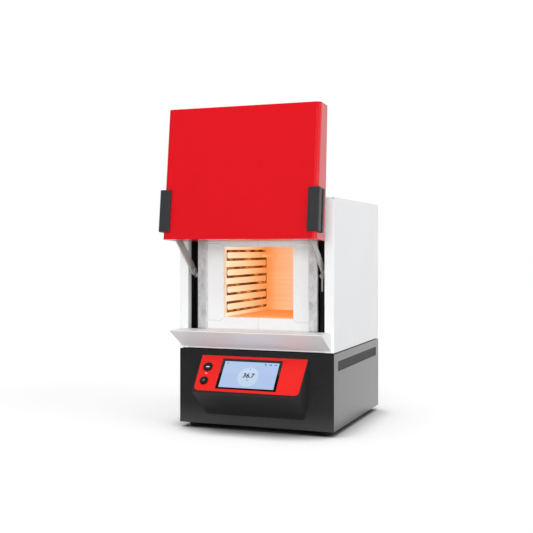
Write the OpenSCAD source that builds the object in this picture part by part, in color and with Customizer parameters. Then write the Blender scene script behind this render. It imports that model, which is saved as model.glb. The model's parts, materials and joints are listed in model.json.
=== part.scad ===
// Bench muffle furnace with a counterbalanced lift-up door, in millimetres.
// Each sub-part is drawn with X to the right, Y back from the front plane of the case and Z up
// from the underside of the base. placed() then moves it to the bench frame of the whole object.

/* [Case] */
// Depth of the space between the inner case and the rear panel
rear_room = 48.9; // [44:0.1:90]
// Height of the base that holds the electronics
base_h = 198.6; // [190:0.1:240]
// Height of the shadow gap between base and upper case
shadow_gap = 3; // [2:0.5:6]
// Height from the chamber's roof to the top of the case
top_room = 126.2; // [110:0.1:160]
// Thickness of the case sheet
sheet = 1.5; // [1:0.1:2]
// Width of the upright front flanges
flange_w = 25; // [22:0.5:27]
// Width of the slot in which an arm and its strut move
slot_w = 31.5; // [30:0.1:40]
// Depth of the return behind each front flange
flange_return = 20; // [12:1:21]
// Height of the header above the arm slots
header_h = 17.8; // [14:0.1:24]

/* [Feet] */
// Height of a rubber foot
foot_h = 14; // [10:1:25]
// Diameter of a rubber foot
foot_d = 36; // [24:1:44]
// Distance of a foot's centre from the sides
foot_inset = 34; // [26:1:60]

/* [Sill] */
// Height of the sill's top above the base's shadow gap
sill_rise = 52; // [50:0.1:62]
// How far the sill stands forward
sill_reach = 78.7; // [60:0.1:90]
// Height of the sill's sloping face
sill_drop = 48.2; // [40:0.1:50]
// Set-back of the sill's ends from the sides
sill_inset = 7.6; // [5:0.1:12]

/* [Console] */
// Width of the red panel beside the display's glass
panel_side = 67.25; // [58:0.25:75]
// How far the console stands forward
console_reach = 70; // [55:1:85]
// Distance from the base's top edge down to the console's top edge
console_drop = 14.6; // [11:0.1:24]
// Height of the console's sloping panel from its nose to its top edge
panel_rise = 88.6; // [80:0.1:100]
// Height of the console's lower edge
console_bottom = 26.7; // [15:0.1:40]
// How much narrower each end of the chin is at its bottom
console_taper = 12; // [4:1:20]
// Wall of the console moulding
console_wall = 3; // [2:0.5:4]
// Width of the display's glass
glass_w = 164; // [150:1:180]
// Border of the panel below the display's glass
glass_low = 13.3; // [8:0.1:20]
// Border of the panel above the display's glass
glass_up = 10.6; // [6:0.1:20]
// Diameter of the push button
button_d = 17; // [12:0.5:19]
// Travel of the push button
button_travel = 2.5; // [1.5:0.5:4]

/* [Chamber] */
// Inner width of the chamber
chamber_w = 198; // [150:1:204]
// Inner height of the chamber
chamber_h = 188.4; // [150:0.1:196]
// Inner depth behind the face of the front boards
chamber_d = 329; // [260:1:332]
// Height of the hearth's top face above the sill
hearth_rise = 30.6; // [22:0.1:40]
// Thickness of the chamber's side walls
wall_t = 30; // [24:1:32]
// Thickness of the chamber's rear wall
rear_wall_t = 26; // [20:1:30]
// Thickness of the roof tile
roof_t = 25; // [20:1:35]
// Thickness of the insulation between lining and inner case
insulation_t = 29; // [20:1:40]
// Thickness of the hearth tile
hearth_t = 15; // [10:1:22]
// Set-back of the front boards behind the front plane
recess = 25; // [22:0.5:30]
// Thickness of the front boards
board_t = 18; // [12:1:22]
// Number of straight element runs in each side wall
runs = 8; // [4:2:8]
// Height between two element runs
run_pitch = 23.4; // [16:0.1:23.4]
// Height of an element groove
groove_h = 7; // [6.5:0.1:9]
// Depth of an element groove
groove_t = 8; // [7:0.5:12]
// Outer diameter of the element coil
coil_d = 6; // [4:0.1:6.2]

/* [Door] */
// Set-back of the door's sides from those of the case
door_inset = 8.5; // [7:0.5:12]
// Thickness of the door at its bottom
door_t_bottom = 73; // [70:0.5:75]
// Thickness of the door at its top
door_t_top = 55.5; // [52:0.5:66]
// Radius of the door's upright front edges
door_edge_r = 12; // [6:0.5:14]
// Gap between the closed door and the front plane
door_gap = 3.2; // [2.5:0.1:5]
// Gap between the closed door and the sill
door_sill_gap = 1.9; // [1:0.1:3]
// Gap between the closed plug and the front boards
plug_gap = 1; // [0.6:0.1:3]
// Height of a handle
handle_h = 109; // [90:1:130]
// Height of a handle's foot above the door's bottom
handle_v = 19; // [12:1:40]
// How far a handle stands proud of the door
handle_t = 7.5; // [5:0.5:8]

/* [Door linkage] */
// How far the open door's lower rear corner lies in front of the case
open_reach = 50; // [46:0.5:54]
// Height of the open door's lower rear corner above the chamber's roof
open_rise = 14.6; // [8:0.1:22]
// How far the open door leans back
door_lean = 3.6; // [2:0.1:5]
// Depth of the fixed pivots behind the front plane
pivot_y = 20; // [18:0.5:24]
// Distance of the door's pins from its rear plane
pin_u = 45; // [42:0.5:47]
// Height of the lower door pin above the door's bottom
pin_v = 17; // [16:0.5:22]
// Height between the two door pins
pin_spacing = 141; // [120:1:150]
// Width of a lift arm
arm_w = 24; // [18:0.5:25]
// Thickness of a lift arm
arm_t = 4; // [3:0.25:4.5]
// Diameter of the door pins
pin_d = 8; // [6:0.5:10]
// Diameter of the fixed pivot studs
stud_d = 10; // [8:0.5:12]
// Radial running clearance of a pivot
run_fit = 0.05; // [0.02:0.01:0.09]
// Radial slack of the upper arm on its door pin
upper_slack = 2.2; // [2.1:0.05:2.6]

/* [Gas strut] */
// Radius at which the strut pulls on the lower arm's tail
tail_r = 16; // [14:0.5:17]
// Diameter of the tail pin and of the fixed lower pin
strut_pin_d = 6; // [5:0.5:7]
// Height of the strut's lower pin above the base's shadow gap
strut_rise = 20.4; // [16:0.1:30]
// Depth of the strut's lower pin
strut_y = 36; // [34:0.5:38]
// Diameter of the strut's tube
tube_d = 14; // [12:0.5:15]
// Diameter of the strut's rod
rod_d = 6; // [5:0.5:7]
// Length of rod that shows with the door open
rod_shown = 40; // [30:1:50]
// Stroke of the rod between open and closed door
stroke = 25.1; // [24.5:0.1:30]
// Radial slack of the strut's lower eye on its pin
eye_slack = 3.3; // [3.1:0.05:3.6]

/* [Flue and services] */
// Outer diameter of the ceramic flue
flue_d = 28; // [22:1:36]
// Bore of the flue
flue_bore = 18; // [12:1:20]
// How far the flue stands out of the top cover
flue_out = 16; // [8:1:24]
// Diameter of the thermocouple sheath
sheath_d = 8; // [6:0.5:10]
// How far the thermocouple reaches into the chamber
sheath_reach = 99; // [60:1:120]
// How far the cable gland stands out of the rear panel
gland_out = 18; // [12:1:26]

/* [Hidden] */
$fn = 48;

// Seat: gap that keeps two flat pieces apart without showing
seat = 0.1;
// Soft seat: gap between curved faces of different bodies
soft_seat = 0.3;

// Levels of the case and the chamber
upper_z = base_h + shadow_gap;
sill_z = upper_z + sill_rise;
hearth_z = sill_z + hearth_rise;
chamber_top = hearth_z + chamber_h;
case_top = chamber_top + top_room;
slot_top = case_top - header_h;
inner_top = slot_top + 1;

// Widths, from the chamber outwards
chamber_half = chamber_w / 2;
case_x = chamber_half + wall_t + insulation_t + seat;
channel_in = case_x + 3 + sheet;
channel_out = channel_in + slot_w;
slot_x = channel_out - sheet - seat;
half_w = slot_x + flange_w;
case_w = 2 * half_w;
board_half = chamber_half + 51;
board_over = 9.3;

// Depths, from the front plane backwards
inner_front = recess / 2 + 1;
wall_front = recess + board_t;
chamber_back = recess + chamber_d;
inner_back = chamber_back + rear_wall_t + insulation_t + seat;
case_d = inner_back + rear_room;

// Metal strips that hold the edges of the front boards
strip_in = board_half - 4.5;
strip_w = 23.5;
strip_out = strip_in + strip_w;

// Planes of the lift arms and the struts in their slots
channel_back = 72;
arm_x = slot_x - 8.5;
strut_x = arm_x - tube_d / 2 - 1;

// Door in its own frame: origin at the lower rear corner, forward is -Y
closed_y = -door_gap;
closed_z = sill_z + door_sill_gap;
open_y = -open_reach;
open_z = chamber_top + open_rise;
door_w = case_w - 2 * door_inset;
door_h = case_top - closed_z - door_sill_gap;
door_slope = atan2(door_t_bottom - door_t_top, door_h);
plug_t = door_gap + recess - plug_gap;
plug_half = strip_in - 3.5;
plug_low = 19.5;
plug_high = slot_top - closed_z - 21;
pan_return = 15.5;
liner_half = arm_x - arm_t - 6.5;

// Where a point of the door lies, u forward of its rear plane and v above its bottom
function open_point(u, v) = [open_y - u * cos(door_lean) + v * sin(door_lean),
                             open_z + u * sin(door_lean) + v * cos(door_lean)];
function closed_point(u, v) = [closed_y - u, closed_z + v];
// Fixed pivot at depth pivot_y that is as far from the open pin as from the closed pin
function pivot_height(v) =
    let (a = open_point(pin_u, v), b = closed_point(pin_u, v), m = (a + b) / 2)
    m[1] - (pivot_y - m[0]) * (b[0] - a[0]) / (b[1] - a[1]);
// Angle of the arm above the forward direction
function arm_angle(p, c) = atan2(c[1] - p[1], p[0] - c[0]);

lower_pivot = [pivot_y, pivot_height(pin_v)];
upper_pivot = [pivot_y, pivot_height(pin_v + pin_spacing)];
lower_pin = open_point(pin_u, pin_v);
upper_pin = open_point(pin_u, pin_v + pin_spacing);
lower_len = norm(lower_pin - lower_pivot);
upper_len = norm(upper_pin - upper_pivot);
lower_angle = arm_angle(lower_pivot, lower_pin);
upper_angle = arm_angle(upper_pivot, upper_pin);
lower_closed = arm_angle(lower_pivot, closed_point(pin_u, pin_v));
upper_closed = arm_angle(upper_pivot, closed_point(pin_u, pin_v + pin_spacing));

// Gas strut, which runs from the lower arm's tail down to a fixed pin
tail = lower_pivot + tail_r * [cos(lower_angle), -sin(lower_angle)];
eye_offset = [-3.0, -0.5];
strut_pin = [strut_y, upper_z + strut_rise];
strut_line = strut_pin + eye_offset - tail;
strut_len = norm(strut_line);
strut_angle = atan2(strut_line[0], -strut_line[1]);
eye_hole_r = strut_pin_d / 2 + eye_slack;
rod_neck = 9;
tube_low = 14;
piston_h = 8;
rod_end = rod_shown + rod_neck + stroke + 3 + piston_h;

// Rest frame: origin at the middle of the object's box, on the bench
handle_front = open_point(door_t_bottom + handle_t, handle_v)[0];
mid_y = (handle_front + case_d + gland_out) / 2;

// Shapes that repeat

module placed() translate([0, -mid_y, foot_h]) children();

module both_sides() {
    children();
    mirror([1, 0, 0]) children();
}

// A flat shape drawn in (Y, Z), as thick as t from x outwards
module side_plate(x, t) translate([x, 0, 0]) rotate([90, 0, 90]) linear_extrude(t) children();

// A flat shape drawn in (X, Z), as thick as t from y backwards
module front_plate(y, t) translate([0, y + t, 0]) rotate([90, 0, 0]) linear_extrude(t) children();

// A box from one corner to the other
module block(a, b) translate(a) cube(b - a);

// A round bar along X from x0 to x1 at (y, z)
module cross_bar(x0, x1, y, z, d) translate([x0, y, z]) rotate([0, 90, 0]) cylinder(h = x1 - x0, d = d);

// A countersunk screw head with a hexagon socket, facing up
module screw_head(d, h) difference() {
    cylinder(h = h, d = d);
    translate([0, 0, h * 0.4]) cylinder(h = h, d = d * 0.5, $fn = 6);
}

// A sheet with rows of round-ended vent slots, drawn flat
module slotted_sheet(w, h, count, slot_w, slot_h) {
    pitch = w / count;
    difference() {
        translate([-w / 2, -h / 2]) square([w, h]);
        for (i = [0 : count - 1])
            translate([(i + 0.5) * pitch - w / 2, 0]) {
                square([slot_w, slot_h - slot_w], center = true);
                for (s = [-1, 1]) translate([0, s * (slot_h - slot_w) / 2]) circle(d = slot_w, $fn = 24);
            }
    }
}

// Base

base_return = 26.7;
base_rear_return = 28;

module feet() color("#161616")
    for (x = [-1, 1], y = [foot_inset, case_d - foot_inset])
        translate([x * (half_w - foot_inset), y, -foot_h])
            cylinder(h = foot_h, d1 = foot_d - 3, d2 = foot_d);

module base_tray() color("#3a3a3b") difference() {
    block([-half_w + sheet + seat, sheet + seat, 0], [half_w - sheet - seat, case_d - sheet - seat, 22]);
    block([-half_w + 2 * sheet + seat, 2 * sheet + seat, sheet],
          [half_w - 2 * sheet - seat, case_d - 2 * sheet - seat, 23]);
}

module base_front_panel() color("#343435") difference() {
    block([-half_w, 0, 0], [half_w, base_return, base_h]);
    block([-half_w + sheet, sheet, -1], [half_w - sheet, base_return + 1, base_h + 1]);
    // Way through for the console's cables
    block([30 - console_half, -1, console_bottom + 25], [console_half - 30, sheet + 1, console_top - 30]);
}

vent_h = 25;
vent_y = base_return + 9.8;
vent_l = case_d - base_rear_return - 3.5 - vent_y;
vent_drop = 22;
vent_pitch = 10;
vent_slot_w = 7.4;
vent_slots = floor((vent_l + vent_pitch - vent_slot_w) / vent_pitch);

module base_side_panels() color("#6f6f70") both_sides() difference() {
    block([half_w - sheet, base_return + seat, 0],
          [half_w, case_d - base_rear_return - seat, base_h]);
    block([half_w - sheet - 1, vent_y, base_h - vent_drop - vent_h],
          [half_w + 1, vent_y + vent_l, base_h - vent_drop]);
}

module vent_grilles() color("#2a2a2b") both_sides()
    translate([half_w - sheet - 0.8, vent_y + vent_l / 2, base_h - vent_drop - vent_h / 2])
        rotate([90, 0, 90]) linear_extrude(0.8) difference() {
            square([vent_l + 8, vent_h + 8], center = true);
            for (i = [0.5 : vent_slots], j = [-1 : 1])
                translate([(i - vent_slots / 2) * vent_pitch, j * 8]) square([vent_slot_w, 5.2], center = true);
        }

module base_rear_panel() color("#343435") difference() {
    block([-half_w, case_d - base_rear_return, 0], [half_w, case_d, base_h]);
    block([-half_w + sheet, case_d - base_rear_return - 1, -1],
          [half_w - sheet, case_d - sheet, base_h + 1]);
    translate([gland_x, case_d + 1, gland_z]) rotate([90, 0, 0]) cylinder(h = sheet + 2, d = 16.2);
    // Vent slots
    for (i = [0 : 15]) translate([i * 11, 0, 0])
        block([-20, case_d - sheet - 1, 50], [-14, case_d + 1, 110]);
}

gap_inset = 8;
deck_rim = 14;

// Deck between base and upper case: its plate makes the shadow gap, its rim stands inside the base
module mid_deck() color("#1d1d1e") {
    block([-half_w + gap_inset, gap_inset, base_h - 1], [half_w - gap_inset, case_d - gap_inset, upper_z]);
    difference() {
        block([-half_w + sheet + seat, sheet + seat, base_h - deck_rim],
              [half_w - sheet - seat, case_d - sheet - seat, base_h - seat]);
        block([-half_w + 2 * sheet + seat, 2 * sheet + seat, base_h - deck_rim - 1],
              [half_w - 2 * sheet - seat, case_d - 2 * sheet - seat, base_h - sheet - seat]);
    }
}

// Console

console_half = glass_w / 2 + panel_side;
console_top = base_h - console_drop;
console_nose = console_top - panel_rise;
console_w = 2 * console_half;
console_tilt = atan2(console_reach, console_top - console_nose);
panel_len = norm([console_reach, console_top - console_nose]);
glass_h = panel_len - glass_low - glass_up;
chin_len = norm([console_reach, console_nose - console_bottom]);

// Console frame: origin on the nose, +Z up along the sloping panel, -Y out of it
module on_panel() translate([0, -console_reach, console_nose]) rotate([-console_tilt, 0, 0]) children();

// Chin frame: origin on the nose, +Z down along the chin, -Y out of it
chin_tilt = atan2(console_reach, console_nose - console_bottom);
module on_chin() translate([0, -console_reach, console_nose]) rotate([chin_tilt, 0, 0])
    mirror([0, 0, 1]) children();

// Points of the arc that rounds corner b of the path a, b, c
function corner_arc(a, b, c, r, n = 6) =
    let (u = (a - b) / norm(a - b), v = (c - b) / norm(c - b),
         half = acos(u * v) / 2, m = (u + v) / norm(u + v), o = b + m * r / sin(half),
         p = b + u * r / tan(half) - o, q = b + v * r / tan(half) - o,
         s = atan2(p[1], p[0]), w = atan2(q[1], q[0]) - s,
         sweep = w > 180 ? w - 360 : w < -180 ? w + 360 : w)
    [for (i = [0 : n]) o + r * [cos(s + sweep * i / n), sin(s + sweep * i / n)]];

// Side view of the console, thinner all round by inset
module console_profile(inset, nose_r) {
    top = console_top - inset * panel_len / console_reach;
    low = console_bottom + inset * chin_len / console_reach;
    k = (console_top - console_bottom) / console_reach;
    tip = -(top - low) / k;
    nose = [tip, top + (console_top - console_nose) / console_reach * tip];
    polygon(concat([[0, top]], corner_arc([0, top], nose, [0, low], nose_r), [[0, low]]));
}

// Front view of the console, smaller all round by inset
module console_front(inset) {
    w = console_half - inset;
    low = console_bottom - 1;
    b = w - console_taper;
    right = corner_arc([w, console_nose], [b, low], [-b, low], 10);
    left = [for (i = [len(right) - 1 : -1 : 0]) [-right[i][0], right[i][1]]];
    polygon(concat([[w, console_top + 1], [w, console_nose]], right, left,
                   [[-w, console_nose], [-w, console_top + 1]]));
}

screw_x = console_half - 36.25;
usb_x = 26.75 - console_half;
usb_v = 75;
usb_d = 26;
power_v = 33;
power_ring_d = 23;
glass_v = glass_low + glass_h / 2;
overlay_t = 1.2;
glass_t = 2;
button_bore_d = button_d + 2 * run_fit;

module console_body(inset, nose_r) intersection() {
    translate([-console_half, 0, 0]) side_plate(0, console_w) console_profile(inset, nose_r);
    front_plate(-console_reach - 5, console_reach + 5) console_front(inset);
}

module console_housing() color("#242425") difference() {
    console_body(0, 6);
    translate([0, seat, 0]) console_body(console_wall, 3);
    on_panel() {
        block([-glass_w / 2 + 3, -5, glass_v - glass_h / 2 + 3],
              [glass_w / 2 - 3, 12, glass_v + glass_h / 2 - 3]);
        for (v = [usb_v, power_v])
            translate([usb_x, 12, v]) rotate([90, 0, 0]) cylinder(h = 20, d = 20);
    }
    on_chin() for (x = [-screw_x, screw_x])
        translate([x, 12, chin_len - 15]) rotate([90, 0, 0]) cylinder(h = 20, d = 5);
}

module console_overlay() color("#d01b28") on_panel() difference() {
    front_plate(-overlay_t - seat, overlay_t) difference() {
        union() {
            translate([-console_half + 0.8, 16]) square([console_w - 1.6, panel_len - 18]);
            translate([-console_half + 12.8, 4]) square([console_w - 25.6, 20]);
            for (s = [-1, 1]) translate([s * (console_half - 12.8), 16]) circle(r = 12);
        }
        translate([-glass_w / 2 - seat, glass_v - glass_h / 2 - seat])
            square([glass_w + 2 * seat, glass_h + 2 * seat]);
    }
    for (v = [[usb_v, usb_d], [power_v, power_ring_d]])
        translate([usb_x, 2, v[0]]) rotate([90, 0, 0]) cylinder(h = 6, d = v[1] + 2 * seat);
}

module display_glass() color("#9db9d9") on_panel() front_plate(-glass_t - seat, glass_t)
    translate([-glass_w / 2, glass_v - glass_h / 2]) square([glass_w, glass_h]);

module_t = 9;
board_y = module_t + 3;
board_side = glass_w / 2 - 12;

// Display module with four bosses that carry the controller board
module display_module() color("#4f5358") on_panel() {
    block([-glass_w / 2 + 3.5, 0, glass_v - glass_h / 2 + 3.5],
          [glass_w / 2 - 3.5, module_t, glass_v + glass_h / 2 - 3.5]);
    for (x = [8 - board_side, board_side - 8], v = [-30, 24])
        translate([x, module_t - 1, glass_v + v]) rotate([-90, 0, 0])
            cylinder(h = board_y - module_t + 1 - seat, d = 6);
}

module usb_port() color("#0d0d0e") on_panel() difference() {
    translate([usb_x, -3.2, usb_v]) rotate([-90, 0, 0]) {
        cylinder(h = 3.2 - seat, d = usb_d);
        cylinder(h = 18, d = 19);
    }
    block([usb_x - 6, -4, usb_v - 2.3], [usb_x + 6, 8, usb_v + 2.3]);
}

module power_switch_body() color("#101011") on_panel() difference() {
    translate([usb_x, -3.6, power_v]) rotate([-90, 0, 0]) {
        cylinder(h = 3.6 - seat, d = power_ring_d);
        cylinder(h = 24, d = 19.4);
    }
    translate([usb_x, -5, power_v]) rotate([-90, 0, 0])
        cylinder(h = 5 + button_travel + 7, d = button_bore_d);
}

module power_button() color("#1b1b1d") on_panel()
    translate([usb_x, -4.8, power_v]) rotate([-90, 0, 0]) cylinder(h = 10, d = button_d);

// Screws from behind the chin, whose ends show in their holes
module console_screws() color("#080808") on_chin() for (x = [-screw_x, screw_x])
    translate([x, console_wall + 4, chin_len - 15]) rotate([90, 0, 0]) {
        cylinder(h = 4 - seat, d = 9);
        cylinder(h = 4 + console_wall - 1, d = 4.8);
    }

// Electronics in the base

module controller_board() color("#1f6b3a") on_panel()
    block([-board_side, board_y, glass_v - 36], [board_side, board_y + 1.6, glass_v + 30]);

relay_x = half_w - 147.5;
relay_y = case_d - 208;
fins = 9;
fin_pitch = 11;
sink_w = (fins - 1) * fin_pitch + 3;
sink_l = 110;
sink_h = 42;

// Heat sink with its fins down, on two feet that stand on the tray
module relay_heat_sink() color("#b9bcc0") translate([relay_x, relay_y, sheet + seat]) {
    translate([0, 0, sink_h - 5]) cube([sink_w, sink_l, 5]);
    for (i = [0 : fins - 1]) translate([i * fin_pitch, 0, 0]) cube([3, sink_l, sink_h - 4]);
}

module solid_state_relay() color("#d8d6cf")
    translate([relay_x + sink_w / 2, relay_y + sink_l / 2, sheet + sink_h + 2 * seat]) difference() {
        translate([-22.5, -29, 0]) cube([45, 58, 25]);
        for (x = [-14, 14], y = [-22, 22]) translate([x, y, 18]) cylinder(h = 8, d = 9);
    }

rail_x = 67.5 - half_w;
rail_l = 170;
rail_y = case_d - 158;
rail_w = 35;
terminal_w = 10;
terminals = 10;

// Rail of a top-hat section that carries the terminal blocks
module terminal_rail() color("#c9c4b4") side_plate(rail_x, rail_l)
    translate([rail_y, sheet + seat]) polygon([[0, 6.4], [0, 7.4], [5, 7.4], [5, 1],
        [rail_w - 5, 1], [rail_w - 5, 7.4], [rail_w, 7.4], [rail_w, 6.4], [rail_w - 4, 6.4],
        [rail_w - 4, 0], [4, 0], [4, 6.4]]);

module terminal_blocks() color("#8d9296") for (i = [0 : terminals - 1])
    translate([rail_x + 10 + i * (terminal_w + 2 * seat), 0, 0]) difference() {
        block([0, rail_y - 5, sheet + 7.5 + seat], [terminal_w, rail_y + rail_w + 5, sheet + 45]);
        for (y = [rail_y + 3, rail_y + rail_w - 3])
            translate([terminal_w / 2, y, sheet + 36]) cylinder(h = 10, d = 5);
    }

gland_x = -half_w + 60;
gland_z = 60;

module cable_gland() color("#1c1c1c") translate([gland_x, 0, gland_z]) rotate([-90, 0, 0]) difference() {
    union() {
        translate([0, 0, case_d - 22]) cylinder(h = 23, d = 16);
        translate([0, 0, case_d - sheet - 6]) cylinder(h = 6 - seat, d = 24, $fn = 6);
        translate([0, 0, case_d + seat]) cylinder(h = 6, d = 24, $fn = 6);
        translate([0, 0, case_d + 6]) cylinder(h = gland_out - 6, d1 = 21, d2 = 16);
    }
    translate([0, 0, case_d - 23]) cylinder(h = 24 + gland_out, d = 9);
}

// Upper case

module side_panels() color("#e6e7e8") both_sides() difference() {
    block([slot_x, 0, upper_z], [half_w, case_d - sheet - seat, case_top - sheet]);
    block([slot_x + sheet, sheet, upper_z - 1],
          [half_w - sheet, case_d - 2 * sheet - seat, case_top]);
    block([slot_x - 1, flange_return, upper_z - 1], [half_w - sheet, case_d - 2 * sheet - seat, case_top]);
    // Relief cut of the folded top front corner
    block([half_w - 4, -1, case_top - sheet - 2.5], [half_w + 1, 3, case_top]);
    at_rear_screws() translate([0, 0, -20]) cylinder(h = 20, d = 4.4, $fn = 24);
}

module top_cover() color("#dedfe0") difference() {
    block([-half_w, 0, case_top - sheet], [half_w, case_d, case_top]);
    translate([0, flue_y, case_top - 5]) cylinder(h = 10, d = flue_d + 6);
    at_collar_screws() translate([0, 0, -5]) cylinder(h = 10, d = 3.4, $fn = 24);
}

module header_panel() color("#e6e7e8") difference() {
    block([-slot_x + seat, 0, slot_top], [slot_x - seat, inner_front - seat, case_top - sheet]);
    block([-slot_x - 1, sheet, slot_top + sheet], [slot_x + 1, inner_front + 1, case_top]);
}

// Screws of the rear panel, on the panel's corners
module at_rear_screws() for (x = [-1, 1], z = [upper_z + 14, case_top - 18])
    translate([x * (half_w - 12), case_d, z]) rotate([-90, 0, 0]) children();

module rear_panel() color("#dedfe0") difference() {
    translate([0, case_d, (upper_z + case_top) / 2]) rotate([90, 0, 0])
        linear_extrude(sheet) difference() {
            square([case_w - 6, case_top - upper_z - 2 * sheet - 2], center = true);
            for (s = [-1, 1], i = [0 : 11], j = [-1, 1])
                translate([s * (half_w - 122.5) + (i - 5.5) * 11, j * 120]) square([5, 40], center = true);
        }
    at_rear_screws() translate([0, 0, -5]) cylinder(h = 10, d = 4.4, $fn = 24);
}

module rear_screws() color("#b4b7b9") at_rear_screws() {
    translate([0, 0, seat]) screw_head(7, 2);
    translate([0, 0, -sheet - 4]) cylinder(h = sheet + 4.5, d = 4, $fn = 24);
}

sill_half = half_w - sill_inset;

module sill() color("#e9eaeb") {
    profile = [[0, upper_z], [0, sill_z - sill_drop], [-sill_reach, sill_z - sheet], [-sill_reach, sill_z],
               [recess - seat, sill_z], [recess - seat, sill_z - sheet], [sheet, sill_z - sheet],
               [sheet, upper_z]];
    grow = sheet * norm([sill_reach, sill_drop]) / sill_drop;
    difference() {
        side_plate(-sill_half, 2 * sill_half) polygon(profile);
        // Hollow behind the sloping face
        side_plate(-sill_half + sheet, 2 * (sill_half - sheet))
            polygon([[0, sill_z - sill_drop + grow * sill_drop / sill_reach],
                     [-sill_reach + 2 * grow, sill_z - sheet], [0, sill_z - sheet]]);
        // Only the middle reaches back to the boards, and the back plate stays between the flanges
        both_sides() {
            block([strip_in + 0.5, sheet, sill_z - sheet - 1], [sill_half + 1, recess + 1, sill_z + 1]);
            block([slot_x - seat, 0, upper_z - 1], [sill_half + 1, recess, sill_z + 1]);
        }
    }
}

module inner_case() color("#8f9294") difference() {
    block([-case_x - sheet, inner_front, upper_z], [case_x + sheet, inner_back + sheet, inner_top + sheet]);
    block([-case_x, inner_front + sheet, upper_z + sheet], [case_x, inner_back, inner_top]);
    block([-board_half, inner_front - 1, upper_z + sheet], [board_half, inner_front + 5, inner_top]);
    translate([0, flue_y, inner_top - 1]) cylinder(h = 10, d = flue_d + 2);
    for (s = [-1, 1], z = terminal_levels)
        translate([s * coil_x, inner_back - 1, z]) rotate([-90, 0, 0]) cylinder(h = 10, d = lead_d + 4);
    translate([sheath_x, inner_back - 1, sheath_z]) rotate([-90, 0, 0]) cylinder(h = 10, d = sheath_d + 2);
}

module slot_channels() color("#141415") both_sides() difference() {
    block([channel_in - sheet, inner_front, upper_z], [channel_out + sheet, channel_back + sheet, inner_top]);
    block([channel_in, inner_front - 1, upper_z - 1], [channel_out, channel_back, inner_top + 1]);
    block([channel_in, inner_front - 1, upper_z - 1],
          [channel_out + sheet + 1, inner_front + 0.2, inner_top + 1]);
}

module face_strips() color("#b7babb") both_sides() {
    low = sill_z + 0.3;
    block([strip_in, inner_front - sheet - seat, low], [strip_out, inner_front - seat, slot_top - seat]);
    block([strip_out - sheet, inner_front - sheet, low], [strip_out, inner_front + 8, slot_top - seat]);
    block([strip_in, inner_front - sheet, low], [strip_in + sheet, recess - seat, slot_top - seat]);
}

// Refractory lining

joint_top = chamber_top + board_over;
joint_low = hearth_z - board_over;

// Right side board, drawn in (X, Z)
module side_board_shape() polygon([[chamber_half, hearth_z], [chamber_half + board_over, joint_low],
    [board_half, joint_low], [board_half, joint_top], [chamber_half + board_over, joint_top],
    [chamber_half, chamber_top]]);

module front_side_boards() color("#f3f3f1") both_sides() front_plate(recess, board_t) side_board_shape();

module front_cross_boards() color("#f3f3f1") both_sides() front_plate(recess, board_t) {
    polygon([[seat, chamber_top], [chamber_half, chamber_top], [chamber_half + board_over, joint_top + seat],
             [board_half, joint_top + seat], [board_half, inner_top - seat], [seat, inner_top - seat]]);
    polygon([[seat, hearth_z], [chamber_half, hearth_z], [chamber_half + board_over, joint_low - seat],
             [board_half, joint_low - seat], [board_half, upper_z + sheet + seat],
             [seat, upper_z + sheet + seat]]);
}

// Heights of the element runs
run_low = hearth_z + (chamber_h - (runs - 1) * run_pitch) / 2 + 1;
function run_z(i) = run_low + i * run_pitch;
coil_x = chamber_half + groove_t - coil_d / 2 - soft_seat;
bend_r = 5;
path_front = wall_front + 2 + groove_h / 2;
path_back = chamber_back - 4 - groove_h / 2;
terminal_levels = [run_z(0), run_z(runs - 1)];
lead_d = 4;
lead_end = inner_back + 34;

// Grooves for one element, drawn in (Y, Z), w wide and with the ends of the ridges clipped by c
module groove_shape(w, c) {
    for (i = [0 : runs - 1]) {
        back = i == 0 || i == runs - 1 ? chamber_back + 1 : path_back + w / 2;
        translate([path_front - w / 2, run_z(i) - w / 2]) square([back - path_front + w / 2, w]);
    }
    for (i = [0 : runs - 2]) {
        front = i % 2 == 0;
        y = front ? path_front : path_back;
        s = front ? 1 : -1;
        translate([y - w / 2, run_z(i)]) square([w, run_pitch]);
        for (z = [[run_z(i) + w / 2, 1], [run_z(i + 1) - w / 2, -1]])
            polygon([[y + s * w / 2, z[0]], [y + s * (w / 2 + c), z[0]], [y + s * w / 2, z[0] + z[1] * c]]);
    }
}

module chamber_walls() color("#f0d9b8") both_sides() difference() {
    block([chamber_half, wall_front + seat, hearth_z - hearth_t],
          [chamber_half + wall_t, chamber_back, chamber_top]);
    side_plate(chamber_half - 1, groove_t + 1) groove_shape(groove_h, 4);
}

module chamber_roof() color("#f0d9b8") difference() {
    block([-chamber_half - wall_t, wall_front + seat, chamber_top + seat],
          [chamber_half + wall_t, chamber_back, chamber_top + roof_t]);
    translate([0, flue_y, chamber_top - 1]) cylinder(h = roof_t + 2, d = flue_d - 4);
}

module hearth_tile() color("#e8c79c")
    block([-chamber_half + 2 * seat, wall_front + seat, hearth_z - hearth_t],
          [chamber_half - 2 * seat, chamber_back - seat, hearth_z]);

sheath_x = 27 - chamber_half;
sheath_z = chamber_top - 25.4;

module chamber_rear() color("#f0d9b8") difference() {
    block([-chamber_half - wall_t, chamber_back + seat, hearth_z - hearth_t],
          [chamber_half + wall_t, chamber_back + rear_wall_t, chamber_top + roof_t]);
    for (s = [-1, 1], z = terminal_levels)
        translate([s * coil_x, chamber_back, z]) rotate([-90, 0, 0]) cylinder(h = 100, d = coil_d + 1);
    translate([sheath_x, chamber_back, sheath_z]) rotate([-90, 0, 0])
        cylinder(h = 100, d = sheath_d + 2 * run_fit);
}

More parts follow.
